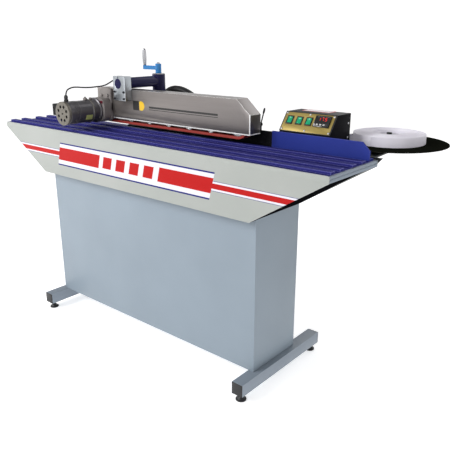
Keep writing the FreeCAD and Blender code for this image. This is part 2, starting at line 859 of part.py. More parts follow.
node("clamp_block", clamp_block())
node("clamp_bolts", group(*[block_bolt(x, z)
                            for x in ("block_left + block_bolt", "block_right - block_bolt")
                            for z in ("block_bottom + block_bolt",
                                      "block_bottom + block_bolt + block_bolt_rise")]))
node("housing_cover", housing_cover())
node("head_frame", head_frame())
node("feed_belt", feed_belt())
node("drive_pulley", drive_pulley())
node("idler_pulley", belt_wheel("idler_x", "pulley_z", "pulley - 2 * soft_gap",
                                "idler_pin + 2 * run_play"))
for number, x in enumerate(PRESS_WHEELS, start=1):
    node(f"pressure_roller_{number}", belt_wheel(x, PRESS_Z, "press_wheel",
                                                 "press_pin + 2 * run_play"))


# ---------------------------------------------------------------- gear motor

def gearbox():
    """A casting with a stepped crown, bored for the pulley's shaft."""
    case = plate("XZ_Plane",
                 [("gear_round", 0), ("gear_right - gear_left", 0),
                  ("gear_right - gear_left", "gear_top - gear_bottom"),
                  (0, "gear_top - gear_bottom"), (0, "gear_round")],
                 "head_front - gear_front", ("gear_left", "gear_front", "gear_bottom"), away=True)
    crown = plate("XZ_Plane",
                  [(0, 0), ("gear_right - gear_crown_left", 0),
                   ("gear_right - gear_crown_left", "gear_crown_top - gear_top"),
                   ("gear_round * 1.5", "gear_crown_top - gear_top"),
                   (0, "gear_crown_top - gear_top - gear_round")],
                  "head_front - gear_crown_front",
                  ("gear_crown_left", "gear_crown_front", "gear_top"), away=True)
    bosses = [rod((x, "gear_crown_front - block_bolt_head", "gear_top + block_bolt"),
                  "block_bolt * 1.4", "block_bolt_head", "Y")
              for x in ("gear_crown_left + 2 * block_bolt", "gear_right - 2 * block_bolt")]
    start = "gear_front + (head_front - gear_front) / 2"
    bore = rod(("pulley_x", start, "pulley_z"), "shaft + 2 * run_play", f"head_front - ({start})", "Y")
    return cut(fuse(case, crown, *bosses), bore)


def motor_body():
    """The motor's barrel with a mounting flange and three grooves near its fan end."""
    at = ("motor_x", "motor_front", "motor_z")
    barrel = fuse(rod(at, "motor", "gear_front - motor_front", "Y"),
                  rod(("motor_x", "motor_back", "motor_z"), "motor_flange",
                      "gear_front - motor_back", "Y"))
    grooves = []
    for number in range(3):
        foot = ("motor_x", f"motor_front + groove_first + {number} * groove_pitch", "motor_z")
        grooves.append(cut(rod(foot, "motor + motor_groove", "motor_groove", "Y"),
                           rod(foot, "motor - motor_groove", "motor_groove", "Y")))
    return cut(barrel, *grooves)


def fan_cover():
    """A cap with a ring of vent holes and one in the middle."""
    at = ("motor_x", "fan_front", "motor_z")
    cap = cut(rod(at, "fan_cap", "motor_front - fan_front", "Y"),
              rod(("motor_x", "fan_front + fan_wall", "motor_z"), "fan_cap - 2 * fan_wall",
                  "motor_front - fan_front - fan_wall", "Y"))
    vents = [rod(at, "vent", "fan_wall", "Y")]
    for number in range(8):
        angle = (number + 0.5) * 360 / 8
        vents.append(rod((f"motor_x + vent_ring * cos({angle})", "fan_front",
                          f"motor_z + vent_ring * sin({angle})"), "vent_outer", "fan_wall", "Y"))
    return cut(cap, *vents)


def terminal_box():
    """A box on the motor's far side, hollowed to the barrel."""
    case = block(("box_left", "motor_x"), ("box_front", "box_back"), ("box_bottom", "box_top"))
    return cut(case, rod(("motor_x", "motor_front", "motor_z"), "motor + 2 * box_play",
                         "gear_front - motor_front", "Y"))


def cable_gland(x, y, foot):
    """A hexagon-sized collar with a clamping nut, bored for the cable."""
    body = fuse(rod((x, y, foot), "gland", "gland_rise / 2"),
                rod((x, y, f"{foot} + gland_rise / 2"), "gland_nut", "gland_rise / 2"))
    return cut(body, rod((x, y, f"{foot} + gland_rise / 2"), "cable", "gland_rise / 2"))


MOTOR_TOP = "motor_z + motor / 2 - gland_seat"
node("gearbox", gearbox())
node("motor_body", cut(motor_body(), rod(("motor_x", "gland_y", MOTOR_TOP), "gland", "motor")))
node("fan_cover", fan_cover())
node("terminal_box", terminal_box())
node("cable_glands", group(cable_gland("motor_x", "gland_y", MOTOR_TOP),
                           cable_gland("inlet_x", "inlet_y", "head_top")))

gland_mouth = SIZE["motor_z"] + SIZE["motor"] / 2 - SIZE["gland_seat"] + SIZE["gland_rise"] / 2
inlet_mouth = SIZE["head_top"] + SIZE["gland_rise"] / 2
CABLE_ROUTE = [(SIZE["motor_x"], SIZE["gland_y"], gland_mouth),
               (-396, -185, bed + 173.3), (-393, -166, bed + 186.3), (-388, -138, bed + 190.3),
               (-382, -106, bed + 188.3), (-375, -74, bed + 186.3), (-367, -44, bed + 188.3),
               (-356, -16, bed + 190.3), (-343, 7, bed + 194.3), (-328, 26, bed + 205.3),
               (-311, 43, bed + 216.3), (SIZE["inlet_x"], SIZE["inlet_y"], bed + 219.3),
               (SIZE["inlet_x"], SIZE["inlet_y"], inlet_mouth)]
held("motor_cable", tube_along(CABLE_ROUTE, SIZE["cable"]))


# ---------------------------------------------------------------- control box

slope_angle = math.atan2(SIZE["desk_slope_rise"], SIZE["desk_slope_run"])
TIP = FreeCAD.Rotation(V(1, 0, 0), math.degrees(slope_angle))


def on_panel(thing):
    """Turn a piece drawn flat, with +Z outwards, onto the sloping panel's face."""
    return place(thing, ("desk_left", "desk_front", "desk_sill"), TIP)


def control_box():
    """A folded box, open at its slope, with a gland for the supply at the rear."""
    top = "desk_slope_rise + desk_sill - desk_bottom"
    deep = "desk_back - desk_front"
    skin = "desk_wall"
    outer = plate("YZ_Plane",
                  [(0, 0), (deep, 0), (deep, top), ("desk_slope_run", top), (0, "desk_sill - desk_bottom")],
                  "desk_width", ("desk_left", "desk_front", "desk_bottom"))
    hollow = plate("YZ_Plane",
                   [(skin, skin), (f"{deep} - {skin}", skin), (f"{deep} - {skin}", f"{top} - {skin}"),
                    (f"desk_slope_run + {skin}", f"{top} - {skin}"),
                    (f"desk_slope_run - 3 * {skin}", f"{top} + {skin}"),
                    (f"-4 * {skin}", "desk_sill - desk_bottom"),
                    (skin, f"desk_sill - desk_bottom - {skin} / 2")],
                   "desk_width - 2 * desk_wall",
                   ("desk_left + desk_wall", "desk_front", "desk_bottom"))
    boss = rod(("desk_left + desk_width / 2", "desk_back", "desk_bottom + 3 * gland"), "gland",
               "gland_rise / 2", "Y")
    return fuse(cut(outer, hollow), boss)


PANEL_LENGTH = "sqrt(desk_slope_run * desk_slope_run + desk_slope_rise * desk_slope_rise)"


def switch_middle(number):
    return f"switch_first + {number} * switch_pitch"


def window(u, v, width, height, low, high):
    """A block centred on (u, v) of the panel."""
    return block((f"{u} - ({width}) / 2", f"{u} + ({width}) / 2"),
                 (f"{v} - ({height}) / 2", f"{v} + ({height}) / 2"), (low, high))


METER = ("meter_u + meter_width / 2", "meter_v + meter_height / 2")
WELL = ("rocker_width + 2 * rocker_play", "rocker_height + 2 * rocker_play")
SLEEVE = tuple(f"{size} + 2 * bezel_wall" for size in WELL)


def control_panel():
    face = block((0, "desk_width"), (0, PANEL_LENGTH), (0, "panel_sheet"))
    holes = [window(switch_middle(number), "switch_v", *SLEEVE, 0, "panel_sheet")
             for number in range(3)]
    holes.append(window(*METER, "meter_width - 2 * meter_border", "meter_height - 2 * meter_border",
                        0, "panel_sheet"))
    return on_panel(cut(face, *holes))


def switch_bezel(number):
    """A rim on the panel and a short sleeve through it, around the rocker."""
    at = (switch_middle(number), "switch_v")
    rim = window(*at, "switch_width", "switch_height", "panel_sheet", "panel_sheet + switch_rise")
    low = "panel_sheet - rocker_depth - rocker_top"
    sleeve = window(*at, *SLEEVE, f"{low} - bezel_wall", "panel_sheet")
    well = window(*at, *WELL, low, "panel_sheet + switch_rise")
    return cut(fuse(rim, sleeve), well)


def rocker(number):
    """A rocker with two shallow slopes that meet over its pivot."""
    at = (switch_middle(number), "switch_v")
    top = "panel_sheet + switch_rise + rocker_top"
    body = window(*at, "rocker_width", "rocker_height", "panel_sheet - 2 * rocker_depth / 3", top)
    dish = rod((f"{at[0]} - rocker_width / 2", at[1], f"{top} + rocker_curve - rocker_hollow"),
               "2 * rocker_curve", "rocker_width", "X")
    pivot = rod((f"{at[0]} - rocker_width / 2 - rocker_play / 2", at[1], "panel_sheet - rocker_depth / 4"),
                "rocker_depth / 3", "rocker_width + rocker_play", "X")
    return fuse(cut(body, dish), pivot)


def temperature_controller():
    """The controller's body and bezel, with a sunk display and wells for its keys."""
    rim = window(*METER, "meter_width", "meter_height", "panel_sheet", "panel_sheet + meter_rise")
    inner = window(*METER, "meter_width - 2 * meter_border", "meter_height - 2 * meter_border",
                   "panel_sheet - meter_depth", "panel_sheet")
    display = block(("meter_u + meter_border", "meter_u + meter_width - meter_border"),
                    ("meter_v + meter_height / 2 - meter_border / 2",
                     "meter_v + meter_height - meter_border"),
                    ("panel_sheet + meter_rise - key_rise", "panel_sheet + meter_rise"))
    wells = [window(key_middle(number), "meter_v + key_v", "key_width + 2 * key_play",
                    "key_height + 2 * key_play", "panel_sheet + meter_rise - key_depth",
                    "panel_sheet + meter_rise") for number in range(3)]
    return cut(fuse(rim, inner), display, *wells)


def key_middle(number):
    return f"meter_u + key_first + {number} * key_pitch + key_width / 2"


def key(number):
    return group(window(key_middle(number), "meter_v + key_v", "key_width", "key_height",
                        "panel_sheet + meter_rise - key_depth + key_rise + key_play",
                        "panel_sheet + meter_rise + key_rise"))


def panel_screw(u, v):
    head = cone((u, v, "panel_sheet"), "screw_head", "screw_top", "screw_rise")
    return on_panel(cut(head, window(u, v, "screw_head / 2", "screw_slot",
                                     "panel_sheet + screw_rise / 2", "panel_sheet + screw_rise")))


node("control_box", control_box())
node("control_panel", control_panel())
node("switch_bezels", on_panel(group(*[switch_bezel(number) for number in range(3)])))
for number in range(3):
    node(f"rocker_switch_{number + 1}", on_panel(rocker(number)))
    node(f"controller_key_{number + 1}", on_panel(key(number)))
node("temperature_controller", on_panel(temperature_controller()))

PANEL_SCREWS = [(u, v) for u in ("screw_head", "desk_width / 2", "desk_width - screw_head")
                for v in ("screw_head", f"{PANEL_LENGTH} - screw_head")]
DOOR_SCREWS = [(f"{share} * (cabinet_width - cabinet_flange)", z) for share in (-0.5, 0.5)
               for z in ("cabinet_bottom + 3 * rear_door_gap", "(cabinet_bottom + rear_door_top) / 2",
                         "rear_door_top - 3 * rear_door_gap")]
screws = [panel_screw(u, v) for u, v in PANEL_SCREWS]
screws += [cone(("desk_left + desk_width", "desk_back - 2 * screw_head", z), "screw_head", "screw_top",
                "screw_rise", "X")
           for z in ("desk_bottom + 2 * screw_head", "desk_sill + 4 * screw_head")]
screws += [cone((x, f"{REAR_FACE} + cabinet_sheet", z), "door_screw", "door_screw_top", "screw_rise", "Y")
           for x, z in DOOR_SCREWS]
node("cover_screws", group(*screws))


# ---------------------------------------------------------------- reel

def rear_bracket():
    """The plate on the rear apron with the tray of the control box, the reel's shelf and
    spindle, and the post that turns the tape."""
    left = "bracket_left"
    tray_end = "desk_left + desk_width"
    upright = plate("XZ_Plane",
                    [(0, 0), (f"bracket_right - {left}", 0),
                     (f"bracket_right + horn_root - {left}", "bed_top - bracket_drop - horn_drop"),
                     (f"bracket_horn - {left}", "bracket_top - bracket_drop"),
                     (f"{tray_end} - {left}", "bracket_top - bracket_drop"),
                     (f"{tray_end} - {left}", "desk_bottom - bracket_drop"),
                     (0, "desk_bottom - bracket_drop")],
                    "bracket_sheet", (left, "table_back", "bracket_drop"), away=True)
    tray = block((left, tray_end), ("table_back", "desk_back"), ("desk_bottom - tray_sheet", "desk_bottom"))
    tab = block((left, f"{left} + 2 * post_width"), ("desk_back", "post_y"),
                ("desk_bottom - tray_sheet", "desk_bottom"))
    far = "reel_y + reel_shelf / 2 - table_back"
    shelf = plate("XY_Plane",
                  [("-shelf_left", 0), ("shelf_right", 0), ("reel_shelf / 2", far),
                   ("-reel_shelf / 2", far)],
                  "bracket_sheet", ("reel_x", "table_back", "bracket_top - bracket_sheet"))
    rib = plate("YZ_Plane",
                [(0, 0), ("reel_y - table_back", 0), (0, "bracket_drop - bracket_top + bracket_sheet")],
                "bracket_sheet", ("reel_x", "table_back", "bracket_top - bracket_sheet"))
    spindle_foot = ("reel_x", "reel_y", "bracket_top")
    seat = "reel_z - reel_sheet - bracket_top"
    spindle = fuse(rod(spindle_foot, "reel_collar", seat),
                   rod(spindle_foot, "reel_spindle",
                       f"{seat} + reel_sheet + reel_hub_rise + bracket_sheet"))
    post = rod(("post_x", "post_y", "desk_bottom - tray_sheet"), "post_width",
               "tray_sheet + reel_z + reel_sheet + tape_height - desk_bottom")
    return fuse(upright, tray, tab, shelf, rib, spindle, post)


def reel_disc():
    """The flat disc and its hub, on the spindle."""
    low = ("reel_x", "reel_y", "reel_z - reel_sheet")
    return cut(fuse(rod(low, "reel_disc", "reel_sheet"),
                    rod(("reel_x", "reel_y", "reel_z"), "reel_hub", "reel_hub_rise")),
               rod(low, "reel_spindle + 2 * run_play", "reel_sheet + reel_hub_rise"))


def tape_roll():
    at = ("reel_x", "reel_y", "reel_z")
    return cut(rod(at, "tape_roll", "tape_height"), rod(at, "reel_hub", "tape_height"))


def tape_strip():
    """The free length of tape: off the roll, round the post and along behind the guide."""
    roll, post = V(SIZE["reel_x"], SIZE["reel_y"], 0), V(SIZE["post_x"], SIZE["post_y"], 0)
    roll_reach = SIZE["tape_roll"] / 2 + SIZE["soft_gap"] + SIZE["tape_sheet"]
    post_reach = SIZE["post_width"] / 2 + SIZE["soft_gap"]
    across = post - roll
    heading = math.atan2(across.y, across.x) - math.asin((roll_reach + post_reach) / across.Length)
    left = V(-math.sin(heading), math.cos(heading), 0)
    off_roll, on_post = roll + left * roll_reach, post - left * post_reach
    off_post = post - V(post_reach, 0, 0)
    round_post = post + ((on_post - post) + (off_post - post)).normalize() * post_reach
    bend = SIZE["tape_bend"]
    line = SIZE["fence_face"] + SIZE["fence_sheet"] + SIZE["soft_gap"]
    low = V(off_post.x, line + bend, 0)
    round_bend = V(low.x - bend + bend * math.cos(math.pi / 4), low.y - bend * math.sin(math.pi / 4), 0)
    turned = V(low.x - bend, line, 0)
    end = V(SIZE["guide_left"] + bend, line, 0)
    path = Part.Wire([Part.LineSegment(off_roll, on_post).toShape(),
                      Part.Arc(on_post, round_post, off_post).toShape(),
                      Part.LineSegment(off_post, low).toShape(),
                      Part.Arc(low, round_bend, turned).toShape(),
                      Part.LineSegment(turned, end).toShape()])
    face = path.makeOffset2D(SIZE["tape_sheet"], fill=True, openResult=True)
    strip = face.extrude(V(0, 0, SIZE["tape_height"]))
    strip.translate(V(0, 0, SIZE["reel_z"]))
    return strip


node("rear_bracket", rear_bracket())
node("reel_disc", reel_disc())
node("tape_roll", tape_roll())
held("edge_tape", tape_strip())


# ---------------------------------------------------------------- checks and export

doc.recompute()
for thing in doc.Objects:
    broken = {"Invalid", "Error"} & set(thing.State)
    assert not broken, f"{thing.Name} ({thing.Label}) failed"
for name, thing in NODES.items():
    assert not thing.Shape.isNull() and thing.Shape.isValid(), f"{name} has no valid shape"

table_end = SIZE["table_length"] / 2
reel_end = SIZE["reel_x"] + SIZE["reel_disc"] / 2
reel_back = SIZE["reel_y"] + SIZE["reel_disc"] / 2
to_middle = V((table_end - reel_end) / 2, (SIZE["foot_bar_front"] - reel_back) / 2, 0)
print("moved by", to_middle)
os.makedirs("parts", exist_ok=True)
for name, thing in NODES.items():
    shape = thing.Shape.copy()
    shape.translate(to_middle)
    shape.exportStep(f"parts/{name}.step")
    print(f"{name:24s} {len(shape.Solids)} solid(s) {shape.Volume / 1000:10.1f} cm3")
print(len(NODES), "nodes")
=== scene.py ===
"""Looks of the edge banding machine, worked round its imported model."""
import json
import math

import bmesh
import bpy
import numpy as np
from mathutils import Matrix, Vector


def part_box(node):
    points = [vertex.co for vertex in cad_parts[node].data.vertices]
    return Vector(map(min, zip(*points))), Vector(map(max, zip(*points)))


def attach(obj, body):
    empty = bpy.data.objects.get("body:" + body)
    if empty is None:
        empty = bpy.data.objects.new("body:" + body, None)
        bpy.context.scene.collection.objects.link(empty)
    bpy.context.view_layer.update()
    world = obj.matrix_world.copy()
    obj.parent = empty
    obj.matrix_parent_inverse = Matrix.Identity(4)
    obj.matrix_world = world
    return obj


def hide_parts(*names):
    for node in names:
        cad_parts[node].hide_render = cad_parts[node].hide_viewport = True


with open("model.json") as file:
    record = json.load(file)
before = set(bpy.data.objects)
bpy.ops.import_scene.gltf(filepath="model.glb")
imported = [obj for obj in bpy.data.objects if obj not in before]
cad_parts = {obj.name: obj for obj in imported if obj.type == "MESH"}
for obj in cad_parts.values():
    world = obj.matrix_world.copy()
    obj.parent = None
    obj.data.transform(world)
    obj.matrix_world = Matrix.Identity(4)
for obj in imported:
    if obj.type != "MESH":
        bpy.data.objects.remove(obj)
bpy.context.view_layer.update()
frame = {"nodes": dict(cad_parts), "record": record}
JOINTS = {joint["name"]: joint for joint in frame["record"]["behaviour"]["joints"]}
X, Y, Z = np.eye(3)
HOME = {node: body for body, nodes in frame["record"]["behaviour"]["bodies"].items()
        for node in nodes}
SLOT = {part["node"]: part["material_slot"] for part in frame["record"]["subparts"]}


def corners(node):
    """A node's lowest corner, highest corner and middle."""
    low, high = (np.array(corner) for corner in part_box(node))
    return low, high, (low + high) / 2


def link(name, data):
    """A new object of the scene."""
    made = bpy.data.objects.new(name, data)
    bpy.context.scene.collection.objects.link(made)
    return made


# ---------------------------------------------------------------- camera

camera = link("camera", bpy.data.cameras.new("camera"))
camera.data.sensor_width = 36
camera.data.lens = 45.445
camera.data.clip_end = 60
camera.location = (1.6769, -1.8396, 1.3027)
camera.rotation_euler = (math.radians(90 - 18.295), 0, math.radians(40.173))
bpy.context.scene.camera = camera


# ---------------------------------------------------------------- shader maths

class Wire:
    """A shader socket that sums and comparisons can be written with."""

    def __init__(self, paint, socket):
        self.paint, self.socket = paint, socket

    def maths(self, operation, *others):
        """This wire and others through one Math node."""
        return self.paint.node("Math", {"operation": operation}, self, *others)

    def __add__(self, other):
        return self.maths("ADD", other)

    def __sub__(self, other):
        return self.maths("SUBTRACT", other)

    def __rsub__(self, other):
        return self.paint.node("Math", {"operation": "SUBTRACT"}, other, self)

    def __mul__(self, other):
        return self.maths("MULTIPLY", other)

    def __truediv__(self, other):
        return self.maths("DIVIDE", other)

    def __pow__(self, other):
        return self.maths("POWER", other)

    def __gt__(self, other):
        return self.maths("GREATER_THAN", other)

    def __lt__(self, other):
        return self.maths("LESS_THAN", other)

    def __abs__(self):
        return self.maths("ABSOLUTE")

    def __or__(self, other):
        return self.maths("MAXIMUM", other)

    __radd__, __rmul__ = __add__, __mul__

    def clamped(self):
        """No less than 0 and no more than 1."""
        return self.maths("MINIMUM", 1) | 0


class Paint:
    """A finish: a material whose nodes are made through one method."""

    def __init__(self, name, **even):
        self.material = bpy.data.materials.new(name)
        self.material.use_nodes = True
        self.tree = self.material.node_tree
        self.shader = self.tree.nodes["Principled BSDF"]
        self.set(**even)

    def node(self, kind, settings, *values, out=0, **named):
        """A node of a kind, with its settings and then the values or wires of its sockets."""
        made = self.tree.nodes.new("ShaderNode" + kind)
        for setting, value in settings.items():
            setattr(made, setting, value)
        for place, value in [*enumerate(values), *named.items()]:
            if value is not None:
                place = place.replace("_", " ") if isinstance(place, str) else place
                self.feed(made.inputs[place], value)
        return Wire(self, made.outputs[out])

    def feed(self, socket, value):
        """A wire is linked to a socket, and a plain value is set on it."""
        if isinstance(value, Wire):
            self.tree.links.new(value.socket, socket)
        elif socket.type == "RGBA":
            socket.default_value = (*value, 1)
        else:
            socket.default_value = value

    def set(self, **values):
        """Shader sockets by name, with _ for a space."""
        for name, value in values.items():
            self.feed(self.shader.inputs[name.replace("_", " ")], value)
        return self

    def coordinates(self):
        """Object coordinates x, y and z."""
        vector = self.node("TexCoord", {}, out="Object")
        return [self.node("SeparateXYZ", {}, vector, out=axis) for axis in range(3)]

    def spread(self, scale, stretch=(1, 1, 1)):
        """Object coordinates with so many features a metre along each axis."""
        vector = self.node("TexCoord", {}, out="Object")
        return self.node("Mapping", {}, vector, Scale=tuple(scale * share for share in stretch))

    def noise(self, scale, stretch=(1, 1, 1), detail=3, roughness=0.5):
        """Cloud noise."""
        return self.node("TexNoise", {}, self.spread(scale, stretch), Scale=1, Detail=detail,
                         Roughness=roughness)

    def cells(self, scale):
        """How far the nearest of scattered points is."""
        return self.node("TexVoronoi", {"feature": "F1"}, self.spread(scale), Scale=1)

    def colour(self):
        """What feeds the base colour so far."""
        return Wire(self, self.shader.inputs["Base Color"].links[0].from_socket)

    def mix(self, mask, low, high):
        """Colour low where the mask is 0 and high where it is 1."""
        made = self.tree.nodes.new("ShaderNodeMix")
        made.data_type = "RGBA"
        for place, value in ((0, mask), (6, low), (7, high)):
            self.feed(made.inputs[place], value)
        return Wire(self, made.outputs[2])

    def bump(self, height, rise, strength):
        """A normal raised by a height map."""
        return self.node("Bump", {}, Strength=strength, Distance=rise, Height=height)

    def edges(self, width):
        """Near 1 along edges and 0 on flat faces: how far a rounded normal leans from the true one."""
        soft = self.node("Bevel", {"samples": 4}, Radius=width)
        plain = self.node("NewGeometry", {}, out="Normal")
        lean = 1 - self.node("VectorMath", {"operation": "DOT_PRODUCT"}, soft, plain, out="Value")
        return (lean * 6).clamped()


def between(value, low, high):
    """1 where a value lies between two others, and 0 elsewhere."""
    return (value > low) * (value < high)


def shaded(colour, share, lift=0.0):
    """A colour times a share, at most 1 in each channel."""
    return tuple(min(1, channel * share + lift) for channel in colour)


def enamel(name, colour, worn, roughness=0.38, edge=0.0012, shade=0.88, coat=0.08, gloss=0.35):
    """Machine paint: orange peel, slow changes of tone and a paler line where it thins on edges."""
    paint = Paint(name, Coat_Roughness=0.15, Specular_IOR_Level=gloss)
    tone = paint.noise(3, detail=4)
    body = paint.mix(tone, shaded(colour, shade), colour)
    body = paint.mix(paint.edges(edge) * 0.55, body, worn)
    peel = paint.noise(900, detail=1)
    patches = paint.noise(14, detail=3)
    return paint.set(Base_Color=body, Roughness=patches * 0.14 + (roughness - 0.07), Coat_Weight=coat,
                     Normal=paint.bump(peel, 0.00012, 0.35))


def bare_metal(name, colour, roughness, grain, stretch, metallic=1.0, depth=0.00006, edge=0.0008,
               bright=(0.95, 0.95, 0.95)):
    """Metal with a fine grain drawn out along one way, and polished edges."""
    paint = Paint(name, Metallic=metallic)
    lines = paint.noise(grain, stretch, detail=4, roughness=0.7)
    cloud = paint.noise(7, detail=3)
    streak = paint.noise(grain / 12, stretch, detail=2)
    body = paint.mix(lines * 0.5 + cloud * 0.5, shaded(colour, 0.72), colour)
    body = paint.mix(streak * 0.35, body, shaded(colour, 1.35))
    body = paint.mix(paint.edges(edge) * 0.8, body, bright)
    return paint.set(Base_Color=body, Roughness=lines * 0.16 + cloud * 0.08 + (roughness - 0.1),
                     Normal=paint.bump(lines, depth, 0.5))


def moulded(name, colour, roughness=0.5, grain=2500, depth=0.00008, worn=None, coat=0.0, gloss=0.35):
    """Moulded plastic or rubber with a fine spark-eroded skin."""
    paint = Paint(name, Specular_IOR_Level=gloss)
    skin = paint.cells(grain)
    tone = paint.noise(18, detail=3)
    body = paint.mix(tone, shaded(colour, 0.8), colour)
    body = paint.mix(paint.edges(0.0008) * 0.4, body, worn or shaded(colour, 2, 0.03))
    return paint.set(Base_Color=body, Roughness=tone * 0.15 + (roughness - 0.07), Coat_Weight=coat,
                     Normal=paint.bump(skin, depth, 0.4))


def casting(name, colour, roughness=0.5, worn=(0.3, 0.29, 0.28), metallic=0.35):
    """Painted sand casting: coarse and fine pits under a thin coat, rubbed on its edges."""
    paint = Paint(name, Metallic=metallic, Coat_Roughness=0.3)
    coarse = paint.noise(160, detail=4, roughness=0.6)
    pits = paint.cells(700)
    tone = paint.noise(20, detail=4)
    body = paint.mix(tone, shaded(colour, 0.7), colour)
    body = paint.mix(paint.edges(0.0015) * 0.6, body, worn)
    return paint.set(Base_Color=body, Roughness=tone * 0.2 + (roughness - 0.1), Coat_Weight=0.15,
                     Normal=paint.bump(coarse + pits * 0.4, 0.0004, 0.45))


# ---------------------------------------------------------------- mesh making

def frame_round(axis):
    """An axis and two directions square to it."""
    axis = np.array(axis, float) / np.linalg.norm(axis)
    side = np.cross(axis, Z if abs(axis[2]) < 0.9 else X)
    side /= np.linalg.norm(side)
    return axis, side, np.cross(axis, side)


def turned(profile, foot, axis=Z, steps=64, ripple=None):
    """Points (r, h) carried round an axis: foot + h axis + (r + ripple(t, h)) (side cos t + up sin t)."""
    axis, side, up = frame_round(axis)
    radius, height = np.array(profile, float).T
    turn = np.linspace(0, 2 * np.pi, steps, endpoint=False)
    reach = np.repeat(radius[:, None], steps, 1)
    if ripple is not None:
        reach = np.maximum(reach + ripple(turn[None, :], height[:, None]) * (reach > 0), 0)
    ring = np.cos(turn)[:, None] * side + np.sin(turn)[:, None] * up
    return foot + height[:, None, None] * axis + reach[..., None] * ring


def eased(line, reach, closed=False, steps=3):
    """Corners rounded: each becomes the parabola from reach before it to reach after it."""
    line = np.array(line, float)
    share = np.linspace(0, 1, steps + 1)[:, None]
    out = []
    for before, here, after in zip(np.roll(line, 1, 0), line, np.roll(line, -1, 0)):
        first = here + (before - here) * min(reach / max(np.linalg.norm(before - here), 1e-9), 0.45)
        last = here + (after - here) * min(reach / max(np.linalg.norm(after - here), 1e-9), 0.45)
        out.append((1 - share) ** 2 * first + 2 * share * (1 - share) * here + share ** 2 * last)
    if not closed:
        out[0], out[-1] = line[:1], line[-1:]
    return np.vstack(out)


def hexagonal(across, top=np.inf):
    """A ripple that turns a circle of half that size into a hexagon below a height: r (1 / cos t - 1)."""
    return lambda turn, height: (across / 2 * (1 / np.cos((turn % (np.pi / 3)) - np.pi / 6) - 1)
                                 * (height < top))


def fluted(count, depth, low, high):
    """A ripple of grooves along the axis between two heights: -depth (1 + cos n t)."""
    return lambda turn, height: -depth * (1 + np.cos(count * turn)) * (height > low) * (height < high)


def threaded(depth, pitch):
    """A ripple that winds up the axis: a saw of height / pitch less the share of a turn."""
    return lambda turn, height: depth * 2 * abs((height / pitch - turn / (2 * np.pi)) % 1 - 0.5)


def rod(radius, low, high):
    """Half the section of a solid bar, from its axis out and back."""
    return [(0, low), (radius, low), (radius, high), (0, high)]


def pipe(bore, radius, low, high):
    """Half the section of a bored bar."""
    return [(bore, low), (radius, low), (radius, high), (bore, high)]


def oblong(half_wide, half_tall, reach, steps=3):
    """A rectangle round its middle, its corners rounded."""
    square = np.array([(-1, -1), (1, -1), (1, 1), (-1, 1)]) * (half_wide, half_tall)
    return eased(square, reach, True, steps)


class Form:
    """Closed surfaces gathered into one mesh."""

    def __init__(self):
        self.points, self.faces, self.count = [], [], 0

    def grid(self, points, rows=False, columns=True):
        """Quads between neighbours of a grid that closes on itself along rows or columns."""
        high, wide = points.shape[:2]
        index = np.arange(high * wide).reshape(high, wide) + self.count
        index = np.vstack([index, index[:1]]) if rows else index
        index = np.hstack([index, index[:, :1]]) if columns else index
        quads = np.stack([index[:-1, :-1], index[1:, :-1], index[1:, 1:], index[:-1, 1:]], -1)
        self.faces.extend(quads.reshape(-1, 4).tolist())
        self.points.append(points.reshape(-1, 3))
        self.count += high * wide
        return self

    def turn(self, profile, foot, axis=Z, steps=64, ripple=None, ring=False):
        """A turned profile, open at the axis or a closed ring."""
        return self.grid(turned(profile, foot, axis, steps, ripple), rows=ring)

    def slab(self, outline, origin, right, up, low, high, ease=0.0):
        """An outline drawn with right and up, from low to high along their normal, edges eased."""
        outline = np.array(outline, float)
        normal = np.cross(right, up)
        middle = outline.mean(0)
        levels = [(low, 1), (low, 0), (high, 0), (high, 1)]
        if ease:
            levels = [(low, 1), (low, ease), (low + ease, 0), (high - ease, 0), (high, ease), (high, 1)]
        rings = []
        for height, inset in levels:
            away = outline - middle
            reach = np.linalg.norm(away, axis=1, keepdims=True)
            flat = middle + away * (0 if inset == 1 else (reach - inset) / reach)
            rings.append(origin + flat[:, :1] * right + flat[:, 1:] * up + height * normal)
        return self.grid(np.array(rings))

    def piece(self, name, paint, body, slot, replaces=(), crisp=32):
        """One mesh of all the surfaces, its doubles merged and its faces outwards."""
        mesh = bpy.data.meshes.new(name)
        mesh.from_pydata(np.vstack(self.points).tolist(), [], self.faces)
        tidy = bmesh.new()
        tidy.from_mesh(mesh)
        bmesh.ops.remove_doubles(tidy, verts=tidy.verts, dist=2e-6)
        bmesh.ops.recalc_face_normals(tidy, faces=tidy.faces)
        tidy.to_mesh(mesh)
        tidy.free()
        return finish_piece(link(name, mesh), paint, body, replaces, crisp)

    def stand_in(self, node, paint, name=None, crisp=32):
        """A piece that replaces a node, on that node's body."""
        return self.piece(name or f"{node}_finished", paint, HOME[node], SLOT[node], (node,), crisp)


def finish_piece(thing, paint, body, replaces=(), crisp=None):
    """Give a piece its finish and its body, and hide the nodes that it stands for."""
    thing.data.materials.clear()
    thing.data.materials.append(paint.material)
    if crisp is not None:
        thing.data.shade_smooth()
        thing.data.set_sharp_from_angle(angle=math.radians(crisp))
    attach(thing, body)
    if replaces:
        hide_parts(*replaces)
    return thing


def softened(node, paint, width, segments=2):
    """A node's own solid with its facets joined into whole faces and its edges rounded."""
    mesh = frame["nodes"][node].data.copy()
    tidy = bmesh.new()
    tidy.from_mesh(mesh)
    bmesh.ops.remove_doubles(tidy, verts=tidy.verts, dist=1e-6)
    bmesh.ops.dissolve_limit(tidy, angle_limit=math.radians(0.4), verts=tidy.verts, edges=tidy.edges)
    tidy.to_mesh(mesh)
    tidy.free()
    thing = link(f"{node}_finished", mesh)
    rounding = thing.modifiers.new("rounding", "BEVEL")
    rounding.width = width
    rounding.segments = segments
    rounding.limit_method = "ANGLE"
    rounding.angle_limit = math.radians(32)
    rounding.harden_normals = True
    finish_piece(thing, paint, HOME[node], (node,))
    mesh.shade_smooth()
    return thing


